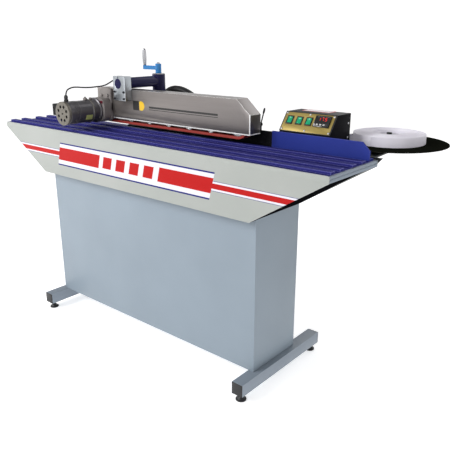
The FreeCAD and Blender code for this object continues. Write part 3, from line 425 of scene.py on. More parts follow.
def hex_bolt(form, at, axis, across, rise=None):
    """A hexagon head on its washer, with a chamfered crown."""
    rise = rise or across * 0.6
    half = across / 2
    form.turn(eased(rod(half * 1.25, 0, rise * 0.2), rise * 0.06), at, axis, 32)
    crown = [(0, rise * 0.15), (half, rise * 0.15), (half, rise * 0.9), (half * 0.86, rise), (0, rise)]
    form.turn(crown, at, axis, 36, hexagonal(across, rise * 0.95))


def socket_bolt(form, at, axis, width, rise):
    """A socket head: a knurled rim and a six-sided well."""
    half = width / 2
    rim = [(0, 0), (half, 0), (half, rise - 0.0006), (half - 0.0006, rise), (half * 0.62, rise)]
    form.turn(rim, at, axis, 48,
              lambda turn, height: 0.00018 * np.cos(24 * turn) * (height < rise - 0.0003))
    well = [(half * 0.62, rise), (half * 0.5, rise - 0.0003), (half * 0.5, rise * 0.4), (0, rise * 0.4)]
    form.turn(well, at, axis, 48, hexagonal(width * 0.5, rise - 0.0002))


def pan_screw(form, at, axis, width, rise):
    """A domed head with a crossed recess: r falls to the dome, and the cross sinks into it."""
    half = width / 2
    share = np.linspace(0, 1, 9)
    dome = [(half * s, rise * (1 - s ** 2 * 0.55)) for s in share[::-1]]
    profile = np.array([(0, 0), (half, 0), *dome])
    points = turned(profile, at, axis, 48)
    flat = (points - at) - ((points - at) @ axis)[..., None] * axis
    _, side, up = frame_round(axis)
    arm = 0.11 * width
    reach = np.minimum(abs(flat @ side), abs(flat @ up))
    deep = (reach < arm) & (np.linalg.norm(flat, axis=2) < 0.34 * width)
    deep[:2] = False
    points -= (deep * rise * 0.45)[..., None] * axis
    form.grid(points)


# ---------------------------------------------------------------- cords

def route(name, points, width=0.0):
    """One open smooth curve through a route, as thick as its bevel."""
    data = bpy.data.curves.new(name, "CURVE")
    data.dimensions = "3D"
    data.resolution_u = 10
    data.bevel_depth = width / 2
    data.bevel_resolution = 6
    data.use_fill_caps = True
    spline = data.splines.new("NURBS")
    spline.points.add(len(points) - 1)
    for point, place in zip(spline.points, points):
        point.co = (*place, 1)
    spline.order_u = 3
    spline.use_endpoint_u = True
    return data


def length_of(path):
    """A path's length along its points."""
    return float(np.linalg.norm(np.diff(path, axis=0), axis=1).sum())


def line_of(data):
    """The points of a curve's own line."""
    depth, data.bevel_depth = data.bevel_depth, 0
    thing = bpy.data.objects.new("line", data)
    mesh = bpy.data.meshes.new_from_object(thing)
    path = np.array([vertex.co for vertex in mesh.vertices], float)
    bpy.data.objects.remove(thing)
    bpy.data.meshes.remove(mesh)
    data.bevel_depth = depth
    return path


CABLE = [(-0.46575, -0.3685, 1.0510), (-0.46575, -0.3690, 1.0830), (-0.46150, -0.3380, 1.0965),
         (-0.45600, -0.3120, 1.0960), (-0.45175, -0.2895, 1.0930), (-0.44475, -0.2575, 1.0910),
         (-0.43675, -0.2275, 1.0930), (-0.42575, -0.1995, 1.0950), (-0.41400, -0.1790, 1.1030),
         (-0.39500, -0.1580, 1.1220), (-0.36175, -0.1215, 1.1290), (-0.36175, -0.1215, 1.0980)]
HOSE = [(-0.36975, 0.1125, 0.9127), (-0.36975, 0.1125, 0.9600), (-0.36575, 0.1125, 1.0100),
        (-0.33975, 0.1125, 1.0480), (-0.29775, 0.1125, 1.0680), (-0.25175, 0.1125, 1.0690),
        (-0.20975, 0.1125, 1.0600), (-0.16775, 0.1125, 1.0430), (-0.12975, 0.1125, 1.0140),
        (-0.09375, 0.1125, 0.9800), (-0.04375, 0.1125, 0.9620), (0.00825, 0.1125, 0.9620)]


def motor_cable():
    """The sheathed cable between the motor's gland and the cover's."""
    paint = moulded("cable_sheath", (0.012, 0.012, 0.014), 0.42, 3500, 0.00004)
    data = route("motor_cable_run", CABLE, 0.006)
    length = length_of(line_of(data))
    cable = finish_piece(link("motor_cable_run", data), paint, "feed_head", ("motor_cable",))


def air_hose():
    """Ribbed hose: r = 16.8 mm + 1.2 mm |cos| of the way along, to the power 1.5."""
    paint = moulded("hose_rubber", (0.015, 0.015, 0.016), 0.38, 2200, 0.00006)
    line = line_of(route("hose_line", HOSE))
    travel = np.concatenate([[0], np.cumsum(np.linalg.norm(np.diff(line, axis=0), axis=1))])
    pitch, sides = 0.0065, 40
    count = int(travel[-1] / pitch) * 6
    along = np.linspace(0, travel[-1], count + 1)
    path = np.stack([np.interp(along, travel, line[:, axis]) for axis in range(3)], 1)
    heading = np.gradient(path, axis=0)
    heading /= np.linalg.norm(heading, axis=1, keepdims=True)
    up = np.cross(heading, Y)
    radius = 0.0168 + 0.0012 * abs(np.cos(np.pi * along / pitch)) ** 1.5
    turn = np.linspace(0, 2 * np.pi, sides, endpoint=False)
    ring = np.cos(turn)[None, :, None] * Y + np.sin(turn)[None, :, None] * up[:, None]
    tube = path[:, None] + radius[:, None, None] * ring
    ends = [np.repeat(path[end:end + 1, None], sides, 1) for end in (0, count)]
    form = Form().grid(np.vstack([ends[0], tube, ends[1]]))
    hose = form.piece("air_hose_run", paint, "frame", "hose_black", ("air_hose",), crisp=60)


motor_cable()
air_hose()


# ---------------------------------------------------------------- stand and cabinet

cabinet_grey = enamel("cabinet_grey", (0.235, 0.285, 0.335), (0.46, 0.52, 0.58), 0.42, shade=0.80,
                      coat=0.05)
bar_grey = enamel("foot_bar_grey", (0.22, 0.26, 0.31), (0.45, 0.50, 0.55), 0.38, shade=0.9)
black_plastic = moulded("black_plastic", (0.02, 0.02, 0.022), 0.42)
# Painted shade: the end skirts sit in shadow under the table ends, so their paint is near black.
skirt_black = enamel("skirt_black", (0.004, 0.004, 0.005), (0.02, 0.02, 0.02), 0.85, coat=0.0, gloss=0.0)
black_sheet = enamel("black_sheet", (0.007, 0.007, 0.009), (0.05, 0.05, 0.06), 0.5, coat=0.0, gloss=0.06)
zinc = bare_metal("zinc_plate", (0.60, 0.60, 0.62), 0.35, 500, (1, 1, 1), edge=0.0004)

softened("foot_bars", bar_grey, 0.003, 3)
softened("foot_bar_plugs", black_plastic, 0.0015)
softened("cabinet_shell", cabinet_grey, 0.0015, 3)
softened("cabinet_rear_panel", cabinet_grey, 0.0008)


def levelling_foot(node):
    """A pad, its cone and a threaded stem."""
    low, high, middle = corners(node)
    half = (high[0] - low[0]) / 2
    foot = np.array([middle[0], middle[1], 0])
    pad = [(0, 0), (half - 0.001, 0), (half, 0.0012), (half, 0.0055), (half - 0.002, 0.007),
           (0.0168, 0.0072), (0.0100, 0.0150), (0.0085, 0.016), (0, 0.016)]
    stem = [(0, 0.015), *[(0.0047, h) for h in np.arange(0.015, high[2] - 0.0005, 0.0003)], (0, high[2])]
    form = Form().turn(eased(pad, 0.0012), foot, steps=72)
    form.turn(stem, foot, steps=20, ripple=threaded(0.0003, 0.0015))
    form.stand_in(node, black_plastic, f"{node}_pad")


for number in range(1, 5):
    levelling_foot(f"levelling_foot_{number}")


# ---------------------------------------------------------------- table

def apron_paint(name, striped):
    """Warm grey paint with the stripes printed on its face, measured from the table's middle."""
    paint = Paint(name, Coat_Roughness=0.15, Specular_IOR_Level=0.12)
    x, _, z = paint.coordinates()
    _, high, middle = corners("front_apron")
    across = (x - middle[0]) * 1000
    bed_top, left, right = 0.9047, -498, 430
    up = (z - (high[2] - bed_top)) * 1000
    grey = paint.mix(paint.noise(2.5, detail=4), (0.285, 0.310, 0.290), (0.385, 0.390, 0.375))
    # Painted highlight: the edges, the rounded top edge most of all, are painted near white.
    body = paint.mix(paint.edges(0.0018) * 0.7, grey, (0.78, 0.78, 0.77))
    if striped:
        slant = across - (up - 746.5) * 0.265
        white, red, blue = (0.64, 0.63, 0.69), (0.40, 0.006, 0.006), (0.010, 0.010, 0.14)
        field = between(slant, left, right)
        side = (slant < left) | (slant > right)
        panel = field * between(up, 749, 850)
        rules = field * (between(up, 845, 851) | between(up, 746, 752))
        blocks = between(up, 771, 829) * (between(slant, left, -209) | between(slant, 154, right))
        step = (slant + 184) / 84
        bars = between(up, 775, 825) * between(slant, -184, 152) * (step.maths("FRACT") < 0.66)
        offset = abs(up - 800)
        band = side * (offset < 10)
        lines = side * between(offset, 17, 18.6)
        margin = side * (offset < 17)
        body = paint.mix(panel | margin, body, white)
        body = paint.mix(rules | lines, body, blue)
        body = paint.mix(blocks | bars | band, body, red)
    return paint.set(Base_Color=body, Roughness=paint.noise(12) * 0.12 + 0.38, Coat_Weight=0.02,
                     Normal=paint.bump(paint.noise(900, detail=1), 0.00012, 0.3))


def bed_paint(name, edge, thin, deep=(0.014, 0.014, 0.120), pale=(0.022, 0.022, 0.175)):
    """Royal blue enamel with pale lavender painted highlights along its edges; the aprons' turned-over edges
    show as grey strips along the bed.
    """
    paint = Paint(name, Specular_IOR_Level=0.06)
    _, y, _ = paint.coordinates()
    low, high, _ = corners("table_bed")
    blue = paint.mix(paint.noise(4, detail=4), deep, pale)
    # Painted highlight: pale lavender lines along the edges, widest and strongest on the ribs; the share
    # passed in sets how strong they are.
    blue = paint.mix(paint.edges(edge) * thin, blue, (0.24, 0.24, 0.58))
    scuffs = paint.noise(60, (0.06, 1, 1), detail=5, roughness=0.7)
    blue = paint.mix((scuffs > 0.68) * 0.06, blue, (0.12, 0.12, 0.32))
    strip = (y < low[1] + 0.005) | (y > high[1] - 0.003)
    body = paint.mix(strip, blue, (0.55, 0.56, 0.55))
    return paint.set(Base_Color=body, Roughness=scuffs * 0.15 + 0.45,
                     Normal=paint.bump(paint.noise(800, detail=1), 0.00012, 0.35))


bed_blue = bed_paint("bed_blue", 0.0020, 0.8)
rib_blue = bed_paint("rib_blue", 0.0040, 1.0)
fence_blue = bed_paint("fence_blue", 0.0020, 0.8, (0.018, 0.026, 0.180), (0.028, 0.048, 0.290))
apron_front = apron_paint("apron_striped", True)
apron_plain = apron_paint("apron_plain", False)
end_grey = bare_metal("end_bar_grey", (0.20, 0.24, 0.29), 0.45, 300, (1, 0.05, 1), metallic=0.4,
                      bright=(0.5, 0.54, 0.60))

softened("table_bed", bed_blue, 0.0006)
softened("bed_ribs", rib_blue, 0.0016, 3)
softened("front_apron", apron_front, 0.0014, 3)
softened("rear_apron", apron_plain, 0.0012)


def end_bars():
    """Each bar is its end outline carried across the table, with a groove along its outer face."""
    low, high, _ = corners("end_bars")
    bed_low, bed_high, _ = corners("table_bed")
    wide, tall, deep = high[0] - bed_high[0], high[2] - low[2], 0.0018
    lines = [(0, 0), (wide, 0), (wide, tall * 0.45), (wide - deep, tall * 0.49), (wide - deep, tall * 0.60),
             (wide, tall * 0.64), (wide, tall), (wide * 0.66, tall), (wide * 0.66, tall - deep),
             (wide * 0.34, tall - deep), (wide * 0.34, tall), (0, tall)]
    form = Form()
    for foot, out in ((bed_high[0], X), (bed_low[0], -X)):
        side = np.array([foot, low[1] if out[0] < 0 else high[1], low[2]])
        form.slab(eased(lines, 0.0006, True), side, out, Z, 0, high[1] - low[1])
    form.stand_in("end_bars", end_grey)


end_bars()
# The end skirts carry the near-black painted shade.
softened("end_skirts", skirt_black, 0.0005)
softened("infeed_fence", fence_blue, 0.0010, 3)


# ---------------------------------------------------------------- edge section

softened("machine_deck", black_sheet, 0.0010)
softened("tape_guide", black_sheet, 0.0010)
softened("hot_air_unit", black_sheet, 0.0015)


def clamp_lever():
    """A knob on a thin stem: r of the knob swells as the sine of its height."""
    pivot = np.array(JOINTS["clamp_lever_pivot"]["pos_m"])
    lean = math.radians(15)
    up = np.array([math.sin(lean), 0, math.cos(lean)])
    form = Form().turn(eased(pipe(0.00255, 0.007, -0.004, 0.004), 0.0008, True), pivot, Y, 48, ring=True)
    form.turn(rod(0.0025, 0.005, 0.046), pivot, up, 24)
    swell = [(0.0028 + 0.0014 * math.sin(math.pi * share), 0.0435 + 0.021 * share)
             for share in np.linspace(0, 1, 17)]
    form.turn([(0, 0.043), (0.0028, 0.043), *swell, (0.0016, 0.0657), (0, 0.066)], pivot, up, 32)
    form.stand_in("tape_clamp_lever", black_plastic, "clamp_lever_finished")


def upright_roller(node, paint, knurl):
    """A bored roller: its faces eased, its skin fluted."""
    low, high, middle = corners(node)
    half, tall, ends = (high[0] - low[0]) / 2, high[2] - low[2], 0.018
    skin = fluted(knurl, 0.0002, tall / 2 - ends, tall / 2 + ends)
    ring = eased(pipe(0.00505, half, 0, tall), 0.0012, True)
    Form().turn(ring, (middle[0], middle[1], low[2]), Z, 144, skin, True).stand_in(node, paint)


roller_rubber = moulded("roller_rubber", (0.03, 0.03, 0.03), 0.6)
roller_steel = bare_metal("roller_steel", (0.50, 0.50, 0.50), 0.3, 900, (1, 0.1, 1))
clamp_lever()
upright_roller("tape_feed_roller", roller_rubber, 36)
upright_roller("press_roller", roller_rubber, 0)


# ---------------------------------------------------------------- column, arm and crank

CRANK_TOP = np.array(JOINTS["crank_turn"]["pos_m"])
navy = enamel("arm_navy", (0.008, 0.007, 0.050), (0.06, 0.06, 0.22), 0.34, coat=0.04, gloss=0.15)
deck_navy = enamel("post_navy", (0.020, 0.020, 0.100), (0.16, 0.16, 0.40), 0.3)
crank_blue = moulded("crank_blue", (0.012, 0.19, 0.50), 0.25, 1800, 0.00004, (0.12, 0.42, 0.75), 0.3)
chrome = bare_metal("polished_steel", (0.42, 0.42, 0.44), 0.20, 1200, (1, 1, 0.2))
dark_cap = moulded("hub_cap", (0.018, 0.020, 0.030), 0.35)


def column_parts():
    """The flanged post, bored for the spindle, and its four bolts."""
    low, high, _ = corners("column_post")
    base = np.array([*CRANK_TOP[:2], low[2]])
    tall, bore, bore_floor = high[2] - low[2], 0.00605, 0.94 - low[2]
    flange, thick, post = 0.046, 0.012, 0.022
    outline = [(0, 0), (flange, 0), (flange, thick), (post, thick), (post, tall), (bore, tall),
               (bore, bore_floor), (0, bore_floor)]
    Form().turn(eased(outline, 0.0012), base, Z, 96).stand_in("column_post", deck_navy)
    bolts = Form()
    for angle in np.radians([45, 135, 225, 315]):
        out = np.array([math.cos(angle), math.sin(angle), 0])
        hex_bolt(bolts, base + 0.036 * out + thick * Z, Z, 0.010)
    bolts.piece("column_bolts", zinc, "frame", "zinc")


def arm_parts():
    """The sleeve and arm as turned bars, with a rippled weld bead where they meet."""
    low, high, _ = corners("lift_arm")
    post_x, post_y = CRANK_TOP[:2]
    tall, arm_z = high[2] - low[2], corners("clamp_block")[1][2] - 0.032
    bore, sleeve, spindle, cap = 0.02205, 0.030, 0.00605, 0.012
    outline = [(bore, 0), (sleeve, 0), (sleeve, tall), (spindle, tall), (spindle, tall - cap),
               (bore, tall - cap)]
    form = Form().turn(eased(outline, 0.0015, True, 4), np.array([post_x, post_y, low[2]]), Z, 96, ring=True)
    near = corners("housing_cover")[0][1] + 0.0003 - low[1]
    far = post_y - 0.0202 - low[1] - 0.004
    arm = [(0, 0), (0.021, 0), (0.021, near), (0.024, near), (0.024, far), (0, far)]
    form.turn(eased(arm, 0.001, False, 4), np.array([post_x, low[1], arm_z]), Y, 96)
    turn = np.linspace(0, 2 * np.pi, 120, endpoint=False)
    x, z = 0.0245 * np.cos(turn), 0.0245 * np.sin(turn)
    seam = np.stack([post_x + x, post_y - np.sqrt(sleeve ** 2 - x ** 2), arm_z + z], 1)
    swell = 0.0022 + 0.0004 * np.sin(turn * 40)
    heading = np.roll(seam, -1, 0) - np.roll(seam, 1, 0)
    heading /= np.linalg.norm(heading, axis=1, keepdims=True)
    out = seam - np.array([post_x, post_y, arm_z])
    out -= (out * heading).sum(1, keepdims=True) * heading
    out /= np.linalg.norm(out, axis=1, keepdims=True)
    other = np.cross(heading, out)
    around = np.linspace(0, 2 * np.pi, 10, endpoint=False)
    ring = (np.cos(around)[None, :, None] * out[:, None] + np.sin(around)[None, :, None] * other[:, None])
    form.grid(seam[:, None] + swell[:, None, None] * ring, rows=True)
    form.stand_in("lift_arm", navy)
    nipple = [(0, 0), (0.0045, 0), (0.0045, 0.004), (0.0022, 0.004), (0.0022, 0.009), (0.003, 0.011),
              (0, 0.013)]
    spot = np.array([post_x + 0.008, post_y - 0.0285, low[2] + 0.118])
    form = Form().turn(eased(nipple, 0.0005), spot, (0.2, -1, 0), 24)
    form.piece("grease_nipple", chrome, "feed_head", "zinc")


def crank_parts():
    """The spindle with its collar and nut, the blue crank and the tapered chrome grip."""
    low, high, _ = corners("lift_spindle")
    sunk, hub_top = low[2] - CRANK_TOP[2], high[2] - CRANK_TOP[2] - 0.006
    shaft, ring, thread_top = 0.006, (high[0] - low[0]) / 2, -0.0125
    thread = [(0.0058, h) for h in np.arange(sunk + 0.001, -0.012, 0.0008)]
    outline = [(0, sunk), *thread, (shaft, -0.011), (shaft, 0.0001), (ring - 0.0015, 0.0001),
               (ring, 0.0012), (ring, 0.0038), (ring - 0.0015, 0.005), (shaft, 0.005), (shaft, hub_top),
               (0, hub_top)]
    screw = threaded(0.0004, 0.004)
    form = Form().turn(outline, CRANK_TOP, Z, 48,
                       lambda turn, height: (screw(turn, height) - 0.0002) * (height < thread_top))
    nut = [(0, hub_top), (0.0070, hub_top), (0.0070, hub_top + 0.005), (0.0058, hub_top + 0.006),
           (0, hub_top + 0.006)]
    form.turn(nut, CRANK_TOP, Z, 36, hexagonal(0.0138, hub_top + 0.0055))
    form.stand_in("lift_spindle", chrome, "spindle_finished")
    softened("crank_arm", crank_blue, 0.0022, 4)
    grip_low, grip_high, grip = corners("crank_grip")
    tall, bore = grip_high[2] - grip_low[2], 0.00405
    share = np.linspace(0, 1, 25)
    swell = 0.0074 + 0.0024 * np.sin(np.pi * (0.12 + 0.75 * share)) ** 1.5
    skin = zip(swell, 0.001 + (tall - 0.006) * share)
    handle = [(bore, 0), (0.0070, 0), *skin, (0.006, tall - 0.0025), (0.0035, tall - 0.0006), (0, tall),
              (0, tall - 0.016), (bore, tall - 0.016)]
    form = Form().turn(handle, (grip[0], grip[1], grip_low[2]), Z, 64, ring=True)
    form.stand_in("crank_grip", chrome, crisp=40)


column_parts()
arm_parts()
crank_parts()


# ---------------------------------------------------------------- feed head

def cover_metal():
    """Stainless sheet brushed along the head, painted darker towards its right end as shade and near white
    on its edges as highlights, with a plain two-part mark printed on its face.
    """
    paint = Paint("brushed_cover", Metallic=0.85)
    x, y, z = paint.coordinates()
    low, high, _ = corners("housing_cover")
    lines = paint.noise(420, (0.012, 1, 1), detail=5, roughness=0.75)
    streak = paint.noise(40, (0.03, 1, 1), detail=3)
    cloud = paint.noise(5, detail=3)
    # Painted shade: the sheet grows darker towards its right end, where less light falls.
    painted_shade_rightward = ((x - low[0]) / (high[0] - low[0])).clamped()
    body = paint.mix(lines * 0.6 + streak * 0.4, (0.16, 0.145, 0.135), (0.43, 0.39, 0.37))
    body = paint.mix(cloud * 0.4, body, (0.40, 0.37, 0.35))
    body = paint.mix(painted_shade_rightward * 0.80, body, (0.13, 0.12, 0.12))
    # Painted highlight: the edges, a strip along the bottom edge and the right front edge are painted near
    # white and made non-metallic.
    painted_highlight_lip = (z < low[2] + 0.0045) | ((x > high[0] - 0.003) * (y < low[1] + 0.004))
    body = paint.mix((paint.edges(0.0022) | painted_highlight_lip) * 0.9, body, (0.93, 0.93, 0.92))
    across, up = (x - low[0]) * 1000, (z - low[2]) * 1000
    front = y < low[1] + 0.0005
    square = between(across, 243, 282) * between(up, 46, 86)
    rules = between(across, 345, 735) * (between(up, 60, 68) | between(up, 53, 55.5))
    dark = (front * square + front * rules).clamped()
    round_off = ((across - 296) ** 2 + (up - 66) ** 2) ** 0.5
    yellow = front * (round_off < 20) * (across > 284)
    body = paint.mix(dark, body, (0.015, 0.014, 0.014))
    body = paint.mix(yellow, body, (0.80, 0.50, 0.02))
    return paint.set(Base_Color=body, Roughness=lines * 0.2 + cloud * 0.1 + 0.22,
                     Metallic=0.85 - (dark | yellow | painted_highlight_lip.clamped()) * 0.85,
                     Normal=paint.bump(lines, 0.00005, 0.5))


alloy = bare_metal("machined_alloy", (0.42, 0.45, 0.48), 0.32, 260, (1, 1, 0.08), bright=(0.9, 0.92, 0.95))
softened("clamp_block", alloy, 0.0010, 2)
softened("housing_cover", cover_metal(), 0.0010, 3)
softened("head_frame", black_sheet, 0.0006)


def clamp_bolts():
    """Four socket heads on the clamp block's face."""
    low, high, _ = corners("clamp_bolts")
    face, head = corners("clamp_block")[0][1], 0.009
    form = Form()
    for x in (low[0] + head / 2, high[0] - head / 2):
        for z in (low[2] + head / 2, high[2] - head / 2):
            socket_bolt(form, np.array([x, face, z]), -Y, head, 0.006)
    form.stand_in("clamp_bolts", dark_cap)


def belt_loop():
    """The flat loop: two straights and two half turns, its outside cut by shallow cross grooves."""
    low, high, middle = corners("feed_belt")
    outer = (high[2] - low[2]) / 2
    inner = outer - 0.010
    left, right = low[0] + outer, high[0] - outer
    span, arc, pitch = right - left, math.pi * outer, 0.008
    count = int(2 * (span + arc) / pitch) * 6
    way = np.linspace(0, 2 * (span + arc), count, endpoint=False)
    lower, round_end, upper = way < span, way < span + arc, way < 2 * span + arc
    angle = np.select([lower, round_end, upper],
                      [-np.pi / 2, -np.pi / 2 + (way - span) / outer, np.pi / 2],
                      np.pi / 2 + (way - 2 * span - arc) / outer)
    x = np.select([lower, round_end, upper], [left + way, right, right - (way - span - arc)], left)
    out = np.stack([np.cos(angle), 0 * angle, np.sin(angle)], 1)
    centre = np.stack([x, 0 * x, 0 * x + middle[2]], 1)
    groove = ((way / pitch) % 1 < 0.34) * 0.0009
    section = eased([(inner, low[1]), (inner, high[1]), (outer, high[1]), (outer, low[1])], 0.0012, True)
    top = section[:, 0] > (inner + outer) / 2
    reach = section[None, :, 0] - groove[:, None] * top[None, :]
    points = centre[:, None] + reach[..., None] * out[:, None] + section[None, :, 1:] * Y
    paint = moulded("belt_red", (0.34, 0.035, 0.026), 0.6, 1500, 0.00015, worn=(0.45, 0.14, 0.11))
    Form().grid(points, rows=True).stand_in("feed_belt", paint)


def belt_wheel(node, bore, web):
    """A wheel on its side: rim, sunk web and boss, the same on both faces."""
    low, high, middle = corners(node)
    half, wide = (high[2] - low[2]) / 2, 0.044
    start = corners("feed_belt")[0][1] + 0.003
    rim, boss = half * 0.82, max(bore * 1.7, half * 0.42)
    ring = [(bore, 0), (boss, 0), (boss, web), (rim, web), (rim, 0), (half, 0), (half, wide), (rim, wide),
            (rim, wide - web), (boss, wide - web), (boss, wide), (bore, wide)]
    form = Form()
    form.turn(eased(ring, 0.0008, True, 2), (middle[0], start, middle[2]), Y, 72, ring=True)
    if node == "drive_pulley":
        form.turn(eased(rod(0.009, 0, high[1] - low[1]), 0.001), (middle[0], low[1], middle[2]), Y, 48)
    form.stand_in(node, roller_steel)


clamp_bolts()
belt_loop()
belt_wheel("drive_pulley", 0.0088, 0.006)
belt_wheel("idler_pulley", 0.00805, 0.006)
for number in range(1, 6):
    belt_wheel(f"pressure_roller_{number}", 0.00605, 0.003)


# ---------------------------------------------------------------- gear motor

gear_cast = casting("gearbox_cast", (0.27, 0.245, 0.235))
motor_paint = casting("motor_paint", (0.115, 0.108, 0.118), 0.34, metallic=0.55, worn=(0.2, 0.19, 0.19))
cap_paint = casting("fan_cap_paint", (0.17, 0.155, 0.130), 0.42, metallic=0.5, worn=(0.42, 0.40, 0.36))
dark_inside = moulded("fan_black", (0.01, 0.01, 0.01), 0.6)
box_plastic = moulded("terminal_black", (0.008, 0.008, 0.009), 0.5, gloss=0.12)
motor_axis_z = corners("fan_cover")[2][2]
softened("terminal_box", box_plastic, 0.0050, 4)
softened("fan_cover", cap_paint, 0.0009, 2)


def gearbox():
    """A cast housing with well-rounded flanks, a bolted crown plate and ribs."""
    low, high, _ = corners("gearbox")
    face, axis_x, axis_z = corners("housing_cover")[0][1], corners("motor_body")[2][0], motor_axis_z
    half, up = (high[0] - low[0]) / 2, (axis_z + 0.054 - low[2]) / 2
    middle = np.array([low[0] + half, face, low[2] + up])
    deep, flange = face - low[1], 0.012
    form = Form()
    form.slab(oblong(half, up, 0.038, 8), middle, X, Z, 0.004, deep, 0.004)
    form.slab(oblong(half, up, 0.022, 6), middle, X, Z, 0, flange, 0.0015)
    left, right = low[0] + 0.032, high[0]
    crown = [(left, axis_z - 0.01), (right, axis_z - 0.01), (right, high[2] - 0.006),
             (right - 0.010, high[2]), (left + 0.018, high[2]), (left, high[2] - 0.020)]
    form.slab(eased(crown, 0.008, True, 5), np.array([0, face, 0]), X, Z, 0, flange, 0.0025)
    for place in (left + 0.020, right - 0.020):
        hex_bolt(form, np.array([place, face - flange, high[2] - 0.036]), -Y, 0.012, 0.007)
    for turn in np.radians([35, 145, 215, 325]):
        spot = axis_x + 0.047 * math.cos(turn), axis_z + 0.047 * math.sin(turn)
        socket_bolt(form, np.array([spot[0], low[1] - 0.008, spot[1]]), -Y, 0.008, 0.0045)
    rib = [(-0.003, 0.0015), (0.003, 0.0015), (0.003, deep - 0.008), (-0.003, deep - 0.008)]
    for height in (-0.024, 0.0, 0.024):
        form.slab(rib, np.array([high[0] - 0.003, face, axis_z + height]), Z, -Y, -0.0026, 0.0, 0.0008)
    form.stand_in("gearbox", gear_cast)


def motor():
    """The barrel as a turned profile: end bell, three rings, thin waist, seam and flange."""
    low, high, middle = corners("motor_body")
    foot = np.array([middle[0], low[1], motor_axis_z])
    long = high[1] - low[1]
    r, flange = 0.050, 0.056
    rings = []
    for start in (0.024, 0.033, 0.042):
        rings += [(r, start), (r - 0.0016, start + 0.0004), (r - 0.0016, start + 0.0026), (r, start + 0.003)]
    outline = [(0, 0), (r - 0.003, 0), (r, 0.003), *rings, (r, 0.050), (r - 0.0012, 0.052),
               (r - 0.0012, long - 0.047), (r + 0.001, long - 0.044), (r + 0.001, long - 0.038),
               (r - 0.001, long - 0.036), (r - 0.001, long - 0.010), (flange - 0.001, long - 0.008),
               (flange, long - 0.007), (flange, long), (0, long)]
    Form().turn(outline, foot, Y, 128).stand_in("motor_body", motor_paint, "motor_barrel", 28)
    seam = Form()
    seam.turn(eased(pipe(r, r + 0.0022, -0.0022, 0.0022), 0.001, True), foot + (long - 0.041) * Y, Y, 128,
              ring=True)
    rim = np.array([middle[0], corners("fan_cover")[0][1] + 0.0012, motor_axis_z])
    seam.turn(eased(pipe(0.0475, 0.0508, -0.001, 0.004), 0.0012, True), rim, Y, 128, ring=True)
    seam.piece("motor_rings", cap_paint, "feed_head", "motor_grey")
    fan, blades = Form(), 9
    fan.turn(rod(0.011, 0, 0.006), foot - 0.0075 * Y, Y, 32)
    for blade in range(blades):
        angle = blade * 2 * math.pi / blades
        out = np.array([math.cos(angle), 0, math.sin(angle)])
        along = np.array([-math.sin(angle) * 0.75, 0.65, math.cos(angle) * 0.75])
        fan.slab([(0.009, -0.004), (0.044, -0.004), (0.044, 0.004), (0.009, 0.004)],
                 foot - 0.0055 * Y, out, along / np.linalg.norm(along), -0.0006, 0.0006)
    fan.piece("motor_fan", dark_inside, "feed_head", "motor_grey")
    lug, spot = Form(), foot + (long - 0.052) * Y
    lug.slab(oblong(0.009, 0.006, 0.002), spot + (r - 0.001) * Z, X, Y, 0, 0.009, 0.001)
    socket_bolt(lug, spot + (r + 0.008) * Z, Z, 0.008, 0.005)
    lug.slab(oblong(0.006, 0.005, 0.0015), foot + (long - 0.026) * Y + (r - 0.002) * Z + 0.004 * X, X, Y,
             0, 0.010, 0.001)
    lug.piece("motor_lug", gear_cast, "feed_head", "motor_grey")


def rating_plate():
    """A blank plate bent round the barrel's lower right side, and a blank tag on the gearbox."""
    low, _, middle = corners("motor_body")
    centre = np.array([middle[0], low[1], motor_axis_z])
    turn = np.radians(np.linspace(-42, -14, 16))
    along = np.linspace(0.078, 0.112, 12)
    out = np.stack([np.cos(turn), 0 * turn, np.sin(turn)], 1)
    shell = [centre + lift * out[:, None] + along[None, :, None] * Y for lift in (0.0486, 0.0493)]
    edge = [np.concatenate([skin[0], skin[1:, -1], skin[-1, -2::-1], skin[-2:0:-1, 0]]) for skin in shell]
    form = Form().grid(shell[0], columns=False).grid(shell[1], columns=False).grid(np.array(edge))
    paint = moulded("plate_yellow", (0.42, 0.45, 0.16), 0.35)
    form.piece("rating_plate", paint, "feed_head", "motor_grey")
    low, high, _ = corners("gearbox")
    spot = np.array([high[0] - 0.022, low[1], high[2] - 0.062])
    tag = Form().slab(oblong(0.016, 0.006, 0.002), spot, X, Z, 0, 0.0008, 0.0002)
    tag.piece("gearbox_tag", moulded("tag_red", (0.10, 0.004, 0.014), 0.3), "feed_head", "gear_grey")


def glands():
    """A hexagon foot and a fluted clamping nut round each cable end."""
    hexagon = [(0, 0), (0.0092, 0), (0.0092, 0.009), (0.0085, 0.010), (0.0075, 0.010), (0.0075, 0.0135),
               (0, 0.0135)]
    nut = eased([(0.00305, 0.0135), (0.0086, 0.0135), (0.0086, 0.0215), (0.0058, 0.0275), (0.00305, 0.028)],
                0.001, True)
    form = Form()
    for end in (CABLE[0], CABLE[-1]):
        foot = np.array(end) - 0.014 * Z
        form.turn(hexagon, foot, Z, 36, hexagonal(0.0180, 0.0095))
        form.turn(nut, foot, Z, 72, fluted(14, 0.0003, 0.014, 0.021), True)
    form.stand_in("cable_glands", black_plastic, "glands_finished")


gearbox()
motor()
rating_plate()
glands()


# ---------------------------------------------------------------- control box

key_axis = np.array(JOINTS["controller_key_1_press"]["axis"], float)
panel_out = -key_axis / np.linalg.norm(key_axis)
panel_up = np.cross(panel_out, X)
panel_low, panel_high, _ = corners("control_panel")
panel_foot = np.array([panel_low[0], panel_low[1] - 0.003 * panel_out[1], panel_low[2]])


